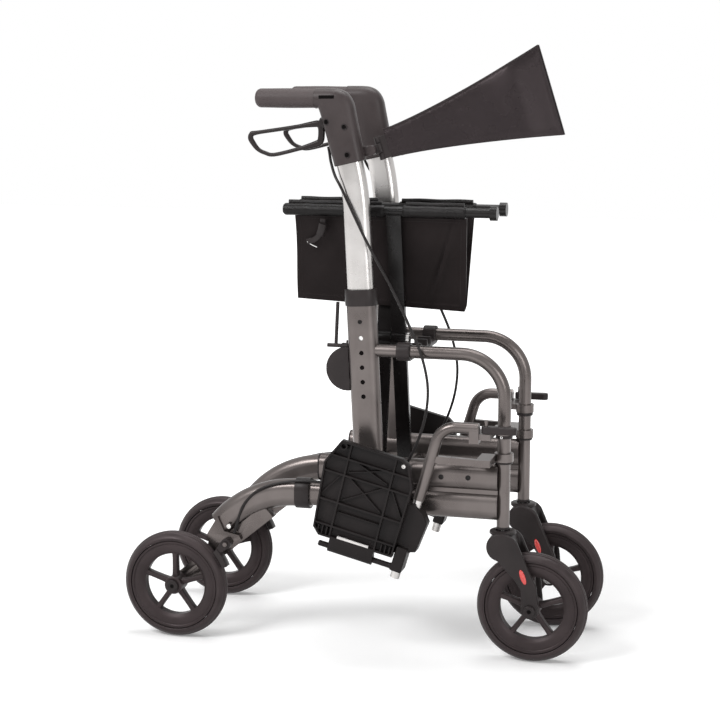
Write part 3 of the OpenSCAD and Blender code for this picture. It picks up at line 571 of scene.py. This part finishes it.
def gripShape():
    along = np.linspace(0, grip["length"], 140)
    belly = grip["radius"] - grip["belly"] * np.cos(along / grip["length"] * 2 * np.pi)
    inside = (along > grip["ribbed"][0]) & (along < grip["ribbed"][1])
    ribs = grip["ribHigh"] * np.cos(along * 2 * np.pi / grip["ribPitch"]) * inside
    end = np.linspace(0, math.pi / 2, 14)[1:]
    r = np.concatenate([belly + ribs, grip["endR"] + (belly[-1] - grip["endR"]) * np.cos(end)])
    x = np.concatenate([along, grip["length"] + grip["endDepth"] * np.sin(end)])
    lip = [(grip["boreR"], 0.0), (grip["radius"], 0.0)]
    tip = [(0.01, -grip["length"] - grip["endDepth"])]
    profile = np.concatenate([lip, np.stack([r, -x], 1), tip])
    return lathe(profile, (grip["frontX"], -chair["sideY"], chair["gripZ"]), "x", 72)


# Brake lever: an oval bar bent into a closed loop below the grip, with an eye round its pivot. Root and tip
# give where the bar starts to grow, over what length, and by how much.
lever = dict(wide=6.6, thick=9.6, root=(-92, 30, 4.6), tip=(-164, 12, 2.2), eyeX=-47, eyeZ=907)
leverLoop = [(-58, 903), (-68, 903.2), (-120, 895), (-170, 887.4), (-177, 884.6), (-178.6, 879), (-176, 873),
             (-166, 860.4), (-153, 854), (-136, 851.4), (-92, 862), (-64, 870), (-56.6, 873.6), (-54, 880),
             (-53.6, 896)]


# The bar is thicker at the root beside the eye and a little at the tip
def leverShape():
    path = spline(leverLoop, 8, closed=True)
    path = np.stack([path[:, 0], np.full(len(path), -chair["sideY"]), path[:, 1]], 1)
    rootX, rootLong, rootMore = lever["root"]
    tipX, tipLong, tipMore = lever["tip"]
    root = np.clip((path[:, 0] - rootX) / rootLong, 0, 1)
    tip = np.clip((tipX - path[:, 0]) / tipLong, 0, 1)
    wide = lever["wide"] + rootMore * root + tipMore * tip
    loop = sweep(path, wide, lever["thick"], power=2.6, cols=24, closed=True)
    eye = lathe([(3.1, -4.9), (9.2, -4.9), (10, -4.1), (10, 4.1), (9.2, 4.9), (3.1, 4.9)],
                (lever["eyeX"], -chair["sideY"], lever["eyeZ"]), "y", 44, closed=True)
    return joined([loop, eye])


# Cable: round jacket on a smooth curve through its clips, with a thicker sleeve at the brake
cableSizes = dict(jacket=4.8, sleeve=5.8, sleeveRows=16)
cableRoute = [(-41.6, -98.5, 866), (-39.4, -99.5, 856), (-36, -102, 840), (-27, -109, 818), (-12, -116, 794),
              (28, -118, 714), (76, -118, 628), (104, -117, 570), (125, -116, 520), (136, -117, 469),
              (133, -119, 420), (119, -121.5, 372), (98, -120.6, 330), (84, -120, 314), (70, -117.6, 300),
              (40, -112.2, 291.5), (0, -112.2, 291.5), (-48, -112.2, 291.5), (-74, -113.8, 292),
              (-100, -114.4, 290.5), (-134.6, -114.4, 283.6), (-161, -116.8, 273.4), (-180, -118.4, 258),
              (-193, -118.5, 241), (-200, -118.5, 224), (-205, -118.5, 206), (-210, -118.5, 191)]


def cableShape():
    path = spline(cableRoute, 10)
    jacket = sweep(path, cableSizes["jacket"], cableSizes["jacket"], cols=16)
    end = path[-cableSizes["sleeveRows"]:]
    return joined([jacket, sweep(end, cableSizes["sleeve"], cableSizes["sleeve"], cols=16)])


for tag, sign in sideSigns.items():
    headBody = piece("handleHead_" + tag, joined([headShape(), headEar()]), "greyPlastic", sign, 50)
    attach(headBody, "post_" + tag)
    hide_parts("handle_head_" + tag)
    gripBody = piece("grip_" + tag + "Rubber", gripShape(), "gripRubber", sign, 50)
    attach(gripBody, "post_" + tag)
    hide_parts("grip_" + tag)
    leverBody = piece("brakeLever_" + tag, leverShape(), "blackPlastic", sign, 50)
    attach(leverBody, "lever_" + tag)
    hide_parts("brake_lever_" + tag)
    cable = piece("brakeCable_" + tag, cableShape(), "cableJacket", sign, 60)
    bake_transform(cable, "frame_" + tag, "post_" + tag, start=(0.1, sign * 0.117, 0.57),
             end=(-0.012, sign * 0.116, 0.80))
    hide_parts("brake_cable_" + tag)
print("handles done")

# Backrest band: padded half band that grows toward the middle, with a flat hem and a row of stitches
band = dict(root=(-21.0, 29.0), grow=(47.7, 58.3), power=1.35, length=300.0, start=14.0, thick=8.0, bow=3.0,
            bend=(-8.0, 0.80, 0.10), hem=4.2, hemShare=0.36, fillOver=5.0, seam=(0.35, 1.2),
            pucker=(0.05, 3.1, 6.0), inset=2.3, stitch=2.9, stitchPitch=4.6, stitchOut=1.75, stitchDip=0.3,
            stitchT=0.8, hinge=(30, -75, 860), tilt=-17.5, swing=12.0, turn=13.29)


def bandAlong(t):
    return band["start"] + t * (band["length"] - band["start"])


def bandEdges(t):
    g = np.clip(t, 0, 1) ** band["power"]
    return band["root"][0] - band["grow"][0] * g, band["root"][1] + band["grow"][1] * g


# Middle line of the band: a slow bow, and a bend outward near the tip
def bandBow(t):
    rise, middle, wide = band["bend"]
    return band["bow"] * np.sin(np.pi * t) + rise * np.exp(-((t - middle) / wide) ** 2)


# From along, across the thickness and up the band to the frame of the chair
def bandPlace(points):
    shape = points @ turnZ(band["turn"]).T + np.array([band["swing"], 0, 0])
    return shape @ turnY(band["tilt"]).T + np.array(band["hinge"])


# Padding is full in the middle, thin at the hem, and puckered a little along the seam
def bandShape():
    t = np.linspace(0, 1, 110)
    low, high = bandEdges(t)
    along = bandAlong(t)
    a = np.linspace(0, 2 * np.pi, 90, endpoint=False)
    across, face = np.sin(a), np.cos(a)
    up = (low + high)[:, None] / 2 + (high - low)[:, None] / 2 * across[None]
    edge = np.minimum(up - low[:, None], high[:, None] - up)
    edge = np.minimum(edge, (band["length"] - along)[:, None] + 1.5)
    within = edge - band["hem"]
    full = band["hemShare"] + (1 - band["hemShare"]) * (1 - np.exp(-np.maximum(within, 0) / band["fillOver"]))
    seamDip, seamWide = band["seam"]
    seam = 1 - seamDip * np.exp(-(within / seamWide) ** 2)
    rise, pitch, reach = band["pucker"]
    pucker = 1 + rise * np.sin(along[:, None] / pitch) * np.exp(-(within / reach) ** 2)
    lens = np.sign(face) * np.abs(face) ** 0.3
    y = bandBow(t)[:, None] + band["thick"] / 2 * lens[None] * full * seam * pucker
    x = np.broadcast_to(along[:, None], up.shape)
    return skin(bandPlace(np.stack([x, y, up], -1)))


# Short thread capsules that follow the hem on both faces
def bandStitches():
    t = np.linspace(0.03, 0.975, 900)
    low, high = bandEdges(t)
    along = bandAlong(t)
    ends = (0, band["stitch"])
    rows = []
    for edge in (low + band["inset"], high - band["inset"]):
        step = np.concatenate([[0], np.cumsum(np.hypot(np.diff(along), np.diff(edge)))])
        marks = np.arange(1.0, step[-1] - 3, band["stitchPitch"])
        rows.append([np.stack([np.interp(marks + k, step, along), np.interp(marks + k, step, edge)], 1)
                     for k in ends])
    tipLow, tipHigh = bandEdges(1.0)
    rise = np.arange(tipLow + 8, tipHigh - 8, band["stitchPitch"])
    tipAt = np.full(len(rise), band["length"] - band["inset"])
    rows.append([np.stack([tipAt, rise + k], 1) for k in ends])
    parts = []
    for first, last in rows:
        for p, q in zip(first, last):
            for face in (-1, 1):
                share = (p[0] - band["start"]) / (band["length"] - band["start"])
                y = bandBow(share) + face * band["stitchOut"]
                sunk = y - band["stitchDip"] * face
                middle = ((p[0] + q[0]) / 2, y, (p[1] + q[1]) / 2)
                line = np.array([(p[0], sunk, p[1]), middle, (q[0], sunk, q[1])])
                thick = band["stitchT"]
                parts.append(sweep(bandPlace(line), thick, thick, across=(0.1, 1, 0.05), cols=6))
    return joined(parts)


# Hinge clip at the root of the band
def bandClip():
    plate = sweep([(3.2, 0, 0), (9, 0, 0), (15.6, 0, 0)], 39, 5.6, power=5, cols=28)
    knuckle = [(2.6, 0), (4.6, 0), (5, 0.5), (5, 10.3), (4.6, 10.8), (2.6, 10.8)]
    knuckles = [lathe(knuckle, (0, 0, z), "z", 32, closed=True) for z in (-20, 9.1)]
    verts, faces = joined([plate] + knuckles)
    return bandPlace(verts), faces


for tag, sign in sideSigns.items():
    pad = piece("backrestPad_" + tag, bandShape(), "bandFabric", sign, 60)
    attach(pad, "back_band_" + tag)
    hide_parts("backrest_band_" + tag)
    stitches = piece("bandStitches_" + tag, bandStitches(), "thread", sign, 60)
    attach(stitches, "back_band_" + tag)
    clip = piece("bandClip_" + tag, bandClip(), "blackPlastic", sign, 40)
    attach(clip, "back_band_" + tag)
print("backrest done")

# Seat cloth: each half hangs from a sleeve round its rail, with a hem, slow folds and stitches
cloth = dict(x=(-136.0, 183.0), rear=(-122.0, -2.0), front=(183.0, -7.0), length=(164.0, 14.0), railY=42.92,
             railZ=755.05, angle=-10.07, sleeveR=10.6, face=-9.8, hem=11.0, gapHalf=16.5, edgeAt=(-6.5, 10.5),
             half=0.7, hemMore=0.4, hemSoft=0.5, seamDip=0.35, seamWide=0.9,
             fold=dict(high=14.0, at=0.89, lean=0.16, level=0.4, wide=0.028),
             waves=((1.0, 9.0, 3.2, 0.0), (0.8, 21.0, -5.0, 1.0), (0.35, 37.0, 12.0, 0.0)))


def clothPlace(points):
    return points @ turnX(cloth["angle"]).T + np.array([0, cloth["railY"], cloth["railZ"]])


# Rear and front edges lean in toward the lower edge, and the front corner is turned up
def clothEdges(v):
    rear = cloth["rear"][0] + cloth["rear"][1] * v + 1.4 * np.sin(5.0 * v)
    front = cloth["front"][0] + cloth["front"][1] * v - 40.0 * np.maximum(v - 0.94, 0)
    return rear, front


# Offset of the cloth from its plane: a soft fold beside the front hem over slow waves that fade at the edges
def clothFolds(u, v):
    fold = cloth["fold"]
    calm = np.sin(np.pi * np.clip(v, 0, 1)) * np.sin(np.pi * np.clip(u, 0, 1)) ** 0.5
    off = u - fold["at"] + fold["lean"] * (v - fold["level"])
    soft = fold["high"] * np.exp(-(off / fold["wide"]) ** 2)
    waves = sum(high * np.sin(along * u + down * v + start) for high, along, down, start in cloth["waves"])
    return calm * (soft + waves)


# Place on the cloth: u from the rear edge to the front edge, v from the rail down to the lower edge
def clothPoint(u, v):
    rear, front = clothEdges(v)
    drop = cloth["length"][0] + cloth["length"][1] * u
    return rear + (front - rear) * u, cloth["face"] + clothFolds(u, v), -drop * v


# Two faces with a thicker hem and a dip along its seam
def clothSheet():
    u, v = np.meshgrid(np.linspace(0, 1, 150), np.linspace(0.035, 1, 90), indexing="ij")
    x, y, z = clothPoint(u, v)
    rear, front = clothEdges(v)
    edge = np.minimum(np.minimum(x - rear, front - x), cloth["length"][0] * (1 - v))
    within = edge - cloth["hem"]
    half = cloth["half"] + cloth["hemMore"] / (1 + np.exp(within / cloth["hemSoft"]))
    half = half - cloth["seamDip"] * np.exp(-(within / cloth["seamWide"]) ** 2)
    faces = [np.stack([x, y + k * half, z], -1) for k in (1, -1)]
    # The two faces are joined round the border into one closed loop per row
    loops = np.concatenate([faces[0], faces[1][:, ::-1]], 1)
    return skin(clothPlace(loops))


# Tube of cloth round the rail from first to last, with the rolled edge that lies on it
def clothSleeve(first, last):
    a = np.linspace(0, 2 * np.pi, 40, endpoint=False)
    x = np.linspace(first, last, 60)
    wave = 0.25 * np.sin(x / 7.0)[:, None] * np.cos(a * 2)[None]
    ends = 0.8 * (np.exp(-((x - first) / 1.5) ** 2) + np.exp(-((x - last) / 1.5) ** 2))[:, None]
    r = cloth["sleeveR"] + wave - ends
    gx = np.broadcast_to(x[:, None], r.shape)
    tube = skin(clothPlace(np.stack([gx, r * np.cos(a), r * np.sin(a)], -1)))
    edgeX = x[2:-2]
    edgeY, edgeZ = cloth["edgeAt"]
    line = np.stack([edgeX, np.full(len(edgeX), edgeY), edgeZ + 0.4 * np.sin(edgeX / 11.0)], 1)
    return joined([tube, sweep(clothPlace(line), 9.0, 6.4, cols=20)])


# Rows of thread below the sleeve, along the lower hem and beside the front and rear edges
def clothStitches():
    rows = [(np.linspace(0.03, 0.97, 56), np.full(56, v)) for v in (0.085, 0.11, 0.945)]
    rows += [(np.full(30, u), np.linspace(0.14, low, 30)) for u, low in ((0.968, 0.9), (0.03, 0.92))]
    parts = []
    for us, vs in rows:
        for k in range(len(us) - 1):
            t = np.array([0, 0.3, 0.6])
            x, y, z = clothPoint(us[k] + (us[k + 1] - us[k]) * t, vs[k] + (vs[k + 1] - vs[k]) * t)
            for face in (1, -1):
                line = np.stack([x, y + face * np.array([0.5, 0.95, 0.5]), z], 1)
                parts.append(sweep(clothPlace(line), 0.7, 0.7, across=(0.1, 1, 0.1), cols=6))
    return joined(parts)


# Short webbing strap with a plastic lock, sewn under the rear sleeve; its bright steel end is a painted
# highlight on the black cord
def strapShapes():
    path = spline([(-66, 9.8, -13), (-68, 7.5, -24), (-73, 5.0, -40), (-84, 2.5, -52), (-100, 0.5, -58)], 8)
    webbing = sweep(clothPlace(path), 9.0, 1.6, across=(0.2, 1, 0.1), power=4, cols=16)
    lockPath = spline([(-66.5, 8.6, -22), (-70, 6.5, -34), (-74, 5.0, -43)], 6)
    lock = sweep(clothPlace(lockPath), 14, 8, power=3, cols=24)
    tipPath = spline([(-99, 0.6, -57.5), (-91, 0.4, -63), (-82, 0.2, -67)], 5)
    tip = sweep(clothPlace(tipPath), 2.4, 2.4, cols=12)
    return joined([webbing, lock]), tip


# Each half leaves a gap in its sleeve at barX, where the cross bar meets the rail
for tag, sign, barX in (("a", -1, 31.0), ("b", 1, 58.0)):
    gap = (barX - cloth["gapHalf"], barX + cloth["gapHalf"])
    sleeves = [clothSleeve(cloth["x"][0], gap[0]), clothSleeve(gap[1], cloth["x"][1])]
    sheet = piece("seatCloth_" + tag, clothSheet(), "seatFabric", sign, 60)
    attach(sheet, "seat_" + tag)
    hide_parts("seat_panel_" + tag)
    extras = [piece("seatSleeve_" + tag, joined(sleeves), "sleeveFabric", sign, 60),
              piece("seatStitches_" + tag, clothStitches(), "thread", sign, 60)]
    if tag == "b":
        strap, strapTip = strapShapes()
        extras.append(piece("seatStrap", strap, "blackPlastic", sign, 50))
        # Painted highlight: bright steel tip where the black cord shows a glint
        extras.append(piece("seatStrapTip", strapTip, "brightSteel", sign, 50))
    for extra in extras:
        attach(extra, "seat_" + tag)
print("seat done")

# Plain parts from their solids: moulded ones are eased round (voxel, rounds), cut ones get a bevel
mouldedParts = {"caster_fork": ("blackPlastic", 1.6, 16), "footplate_hub": ("deepPlastic", 1.6, 4),
                "seat_rests": ("blackPlastic", 1.5, 4), "backrest_bracket": ("blackPlastic", 1.0, 3),
                "footrest_lever": ("blackPlastic", 1.2, 6)}
bevelledParts = {"footplate": ("deepPlastic", 0.5), "rear_strut": ("framePaint", 1.0),
                 "frame_collars": ("blackPlastic", 0.7), "brake_arm": ("blackPlastic", 0.8)}
for tag in sideSigns:
    made = {}
    for start, (label, voxel, rounds) in mouldedParts.items():
        made[start] = moulded(start + "_" + tag, start + "_" + tag + "_moulded", label, voxel, rounds)
    for start, (label, width) in bevelledParts.items():
        made[start] = bevelled(start + "_" + tag, start + "_" + tag + "_bevelled", label, width)
    for start, obj in made.items():
        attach(obj, body_of(frame["nodes"][start + "_" + tag])[0])
        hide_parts(start + "_" + tag)
print("moulded and bevelled parts done")

# Red oval reflector on both arms of each fork, a lip round its crown, and caps over the axle ends with
# painted shade in their sockets
reflector = dict(x=304.0, z=153.5, wide=4.4, tall=3.0, lean=-20.0, face=-126.3, edge=0.8, rise=1.5,
                 innerShift=-8)


# Domed disc drawn out to an oval, on the outer arm, and its mirror image on the inner arm
def lensShapes():
    dome = [(reflector["wide"], 0.0)]
    for a in np.linspace(0, math.pi / 2, 10):
        dome.append((reflector["wide"] * math.cos(a), -reflector["edge"] - reflector["rise"] * math.sin(a)))
    verts, faces = lathe(dome, (0, 0, 0), "y", 40)
    outer = placed((verts * [1, 1, reflector["tall"]], faces), turnY(reflector["lean"]),
                   (reflector["x"], reflector["face"], reflector["z"]))
    inner = (outer[0] * [1, -1, 1] + [reflector["innerShift"], -2 * chair["sideY"], 0], faces)
    return joined([outer, inner])


crownLip = lathe([(12, 225.7), (20.5, 225.7), (22.4, 224.6), (22.8, 220.8), (21.8, 219.6), (12, 218)],
                 (chair["stemX"], -chair["sideY"], 0), "z", 60, closed=True)
axleCap = [(9.6, 3.6), (9.6, -0.6), (8.8, -1.2), (5.2, -1.3), (4.4, -0.2), (0.01, -0.2)]
axleEnds = {"front": dict(x=chair["axleX"], capY=-130.6, socketY=-130.9, grow=0.0, body="caster_"),
            "rear": dict(x=-chair["axleX"], capY=-150.2, socketY=-150.5, grow=1.0, body="frame_")}
for tag, sign in sideSigns.items():
    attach(piece("reflector_" + tag, lensShapes(), "reflector", sign, 40), "caster_" + tag)
    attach(piece("crownLip_" + tag, crownLip, "blackPlastic", sign, 40), "caster_" + tag)
    for label, end in axleEnds.items():
        profile = [(r + end["grow"], y) for r, y in axleCap]
        cap = lathe(profile, (end["x"], end["capY"], chair["axleZ"]), "y", 40)
        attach(piece(label + "Cap_" + tag, cap, "blackPlastic", sign, 40), end["body"] + tag)
    # Painted shade: a near-black disc in each axle cap where the socket lies in shade
    for label, end in axleEnds.items():
        socket = disc(end["x"], end["socketY"], chair["axleZ"], 3.4)
        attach(piece(label + "Socket_" + tag, socket, "darkHole", sign, 40), end["body"] + tag)
print("wheel dressing done")

# Fasteners: head screws with painted shade in their sockets, height holes with painted shade on their floors,
# beam and bracket screws
headScrews = [(-40.2, 907.7), (-9.1, 899.8), (-4.0, 853.7)]
headScrewR = 5.2
headSkin = headShape()
upright = dict(x=16.0, top=600.0, lean=2.86, firstHole=-54.5, pitch=25.0, holes=4, holeR=3.8, sink=1.3,
               face=-114.5, screwAt=-26.4)


# Place in the side view on the leaning upright, measured along it from its top
def uprightPlace(along):
    a = math.radians(upright["lean"])
    return upright["x"] - along * math.sin(a), upright["top"] + along * math.cos(a)


# Raised ring round each head screw, painted shade in each screw socket, and a shallow slot near the elbow
# drawn as a strip of painted shade
def headTrim():
    rings, sockets = [], []
    r = headScrewR
    ring = [(r, 4.0), (r, -1.0), (r - 0.7, -1.5), (r - 1.5, -1.0), (r - 1.5, 4.0)]
    for x, z in headScrews:
        y = outerY(headSkin, x, z)
        rings.append(lathe(ring, (x, y, z), "y", 36, closed=True))
        sockets.append(disc(x, y - 0.7, z, r - 1.2, 4.0))
    slot = spline([(-53, outerY(headSkin, -46, 948.6), 948.6), (-40, outerY(headSkin, -40, 948.8), 948.8),
                   (-27, outerY(headSkin, -31, 948.8), 949)], 6)
    sockets.append(sweep(slot, 5.6, 1.8, power=4, cols=20))
    return joined(rings), joined(sockets)


for tag, sign in sideSigns.items():
    rings, sockets = headTrim()
    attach(piece("headRings_" + tag, rings, "blackPlastic", sign, 40), "post_" + tag)
    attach(piece("headSockets_" + tag, sockets, "darkHole", sign, 40), "post_" + tag)
    # Painted shade: a near-black disc on the floor of each height hole, where the post inside lies in shade
    holes = [uprightPlace(upright["firstHole"] - (k + 1) * upright["pitch"]) for k in range(upright["holes"])]
    floors = [disc(x, upright["face"] + upright["sink"], z, upright["holeR"]) for x, z in holes]
    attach(piece("uprightHoles_" + tag, joined(floors), "darkHole", sign, 40), "frame_" + tag)
    x, z = uprightPlace(upright["screwAt"])
    dark = [screw(x, upright["face"], z, 3.6), screw(160.0, -116.5, 315.0, 4.4),
            screw(206.5, -116.5, 316.3, 4.4)]
    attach(piece("frameScrews_" + tag, joined(dark), "darkPaint", sign, 40), "frame_" + tag)
    bright = [screw(-218.8, -119.8, 203.0, 4.6, 2.4), screw(262.0, -112.4, 388.0, 2.6, 1.4)]
    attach(piece("brightScrews_" + tag, joined(bright), "brightSteel", sign, 40), "frame_" + tag)
print("fasteners done")

# Footplate dressing on its ribbed face: braces, corner slats, a boss, a screw and the bright hinge bar; then
# the stay rod behind each upright, with the pin that holds its lower end. Brace and slat give width, depth
# and how far the middle lies out from the skin of the plate.
plate = dict(origin=(100.0, 180.0), turn=14.0, face=-180.4, skin=-171.4, boss=(137, 164), screw=(30, 161),
             brace=(2.4, 5.0, 2.4), slat=(3.0, 8.4, 4.2))


# u runs rearward across the plate and v up it, from its lower front corner
def platePlace(u, v, y):
    a = math.radians(plate["turn"])
    x = plate["origin"][0] - u * math.cos(a) + v * math.sin(a)
    z = plate["origin"][1] + u * math.sin(a) + v * math.cos(a)
    return x, y, z


def plateBar(first, last, wide, deep, y):
    ends = np.array([platePlace(*first, y), platePlace(*last, y)])
    return sweep(np.linspace(ends[0], ends[1], 4), wide, deep, power=5, cols=16)


plateBraces = [((50, 72), (118, 116)), ((118, 72), (50, 116)), ((14, 74), (40, 116)), ((128, 116), (156, 74)),
               ((50, 122), (118, 146)), ((118, 122), (50, 146)), ((49, 50), (120, 50))]
plateSlats = [((u, 6), (u, 21)) for u in (18, 25.5, 33, 131, 138.5, 146)]
for tag, sign in sideSigns.items():
    braces = []
    for lines, (wide, deep, out) in ((plateBraces, plate["brace"]), (plateSlats, plate["slat"])):
        braces += [plateBar(p, q, wide, deep, plate["skin"] - out) for p, q in lines]
    bossAt = platePlace(*plate["boss"], plate["skin"] - 7)
    screwAt = platePlace(*plate["screw"], plate["skin"] - 4)
    braces.append(lathe([(4.2, 8), (4.2, -0.2), (7, -0.2), (7, 8)], bossAt, "y", 36, closed=True))
    braces.append(lathe([(0.01, 5), (6.4, 5), (6.4, 0), (0.01, 0)], screwAt, "y", 30))
    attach(piece("plateBraces_" + tag, joined(braces), "deepPlastic", sign, 36), "footplate_" + tag)
    shine = [plateBar((54, 8), (110, 8), 6.0, 5.0, plate["face"] + 1.5), screw(*screwAt, 4.0, 2.2)]
    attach(piece("plateShine_" + tag, joined(shine), "silverTube", sign, 40), "footplate_" + tag)
    rodEnds = [(-25.6, -chair["sideY"], 604), (-29.2, -chair["sideY"], 528)]
    rod = sweep(np.linspace(*rodEnds, 6), 6.0, 6.0, cols=18)
    pin = lathe([(0.01, -44), (3.4, -44), (3.4, -8), (0.01, -8)], (0, -chair["sideY"], 529.5), "x", 20)
    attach(piece("stayRod_" + tag, joined([rod, pin]), "blackPlastic", sign, 40), "frame_" + tag)
print("footplates and stay rods done")

# Studio: white floor and world, soft key from above left, wide fill, and the camera of the photograph
# A lamp is given by its place, size and power.
studio = dict(floorZ=-0.0005, floorHalf=8, floorFade=(0.45, 1.5, 0.16, 1.0), world=0.26, aim=(0, 0, 0.45),
              key=(-1.6, -2.2, 2.6, 1.3, 84.0), fill=(2.0, -2.35, 1.25, 1.2, 24.0),
              top=(0.2, 0.3, 3.0, 1.8, 52.0))
photoView = dict(lens=88.94, sensor=36, place=(0.798, -2.976, 1.0227), tilt=80.168, pan=15.2535)


# One for the rays that are to see white: from the camera, through a surface or off a glossy one
def seenWhite(tree):
    path = tree.nodes.new("ShaderNodeLightPath")
    seen = mathNode(tree, "MAXIMUM", path.outputs["Is Camera Ray"], path.outputs["Is Transmission Ray"])
    return mathNode(tree, "MAXIMUM", seen, path.outputs["Is Glossy Ray"])


# The floor glows less near the chair, so that the shadow shows there
def floorMaterial():
    mat = bpy.data.materials.new("studioFloor")
    mat.use_nodes = True
    tree = mat.node_tree
    shader = next(n for n in tree.nodes if n.type == "BSDF_PRINCIPLED")
    shader.inputs["Base Color"].default_value = (0.9, 0.9, 0.9, 1)
    shader.inputs["Roughness"].default_value = 0.9
    shader.inputs["Emission Color"].default_value = (1, 1, 1, 1)
    coords = tree.nodes.new("ShaderNodeTexCoord")
    away = tree.nodes.new("ShaderNodeVectorMath")
    away.operation = "LENGTH"
    tree.links.new(coords.outputs["Object"], away.inputs[0])
    fade = tree.nodes.new("ShaderNodeMapRange")
    fade.interpolation_type = "SMOOTHSTEP"
    for label, value in zip(("From Min", "From Max", "To Min", "To Max"), studio["floorFade"]):
        fade.inputs[label].default_value = value
    tree.links.new(away.outputs["Value"], fade.inputs["Value"])
    glow = mathNode(tree, "MULTIPLY", seenWhite(tree), fade.outputs["Result"])
    tree.links.new(glow, shader.inputs["Emission Strength"])
    return mat


corners = [(x * studio["floorHalf"], y * studio["floorHalf"], studio["floorZ"])
           for x, y in ((-1, -1), (1, -1), (1, 1), (-1, 1))]
floorMesh = bpy.data.meshes.new("studioFloor")
floorMesh.from_pydata(corners, [], [[0, 1, 2, 3]])
floorMesh.materials.append(floorMaterial())
floorObj = linked("studioFloor", floorMesh)

world = bpy.data.worlds.new("studioWorld")
scene.world = world
world.use_nodes = True
sky = world.node_tree
backdrop = next(n for n in sky.nodes if n.type == "BACKGROUND")
backdrop.inputs["Color"].default_value = (1, 1, 1, 1)
extra = mathNode(sky, "MULTIPLY", seenWhite(sky), 1 - studio["world"])
sky.links.new(mathNode(sky, "ADD", extra, studio["world"]), backdrop.inputs["Strength"])

for label in ("key", "fill", "top"):
    *place, size, power = studio[label]
    lamp = bpy.data.lights.new(label, "AREA")
    lamp.size = size
    lamp.energy = power
    lampObj = linked(label, lamp)
    lampObj.location = place
    aim = np.array(studio["aim"]) - np.array(place)
    tilt = math.acos(-aim[2] / np.linalg.norm(aim))
    lampObj.rotation_euler = (tilt, 0, math.atan2(aim[1], aim[0]) - math.pi / 2)

camera = bpy.data.cameras.new("photoCamera")
camera.lens = photoView["lens"]
camera.sensor_width = photoView["sensor"]
camera.clip_end = 60
cameraObj = linked("photoCamera", camera)
cameraObj.location = photoView["place"]
cameraObj.rotation_euler = (math.radians(photoView["tilt"]), 0, math.radians(photoView["pan"]))
scene.camera = cameraObj
scene.view_settings.view_transform = "Standard"
print("studio done")
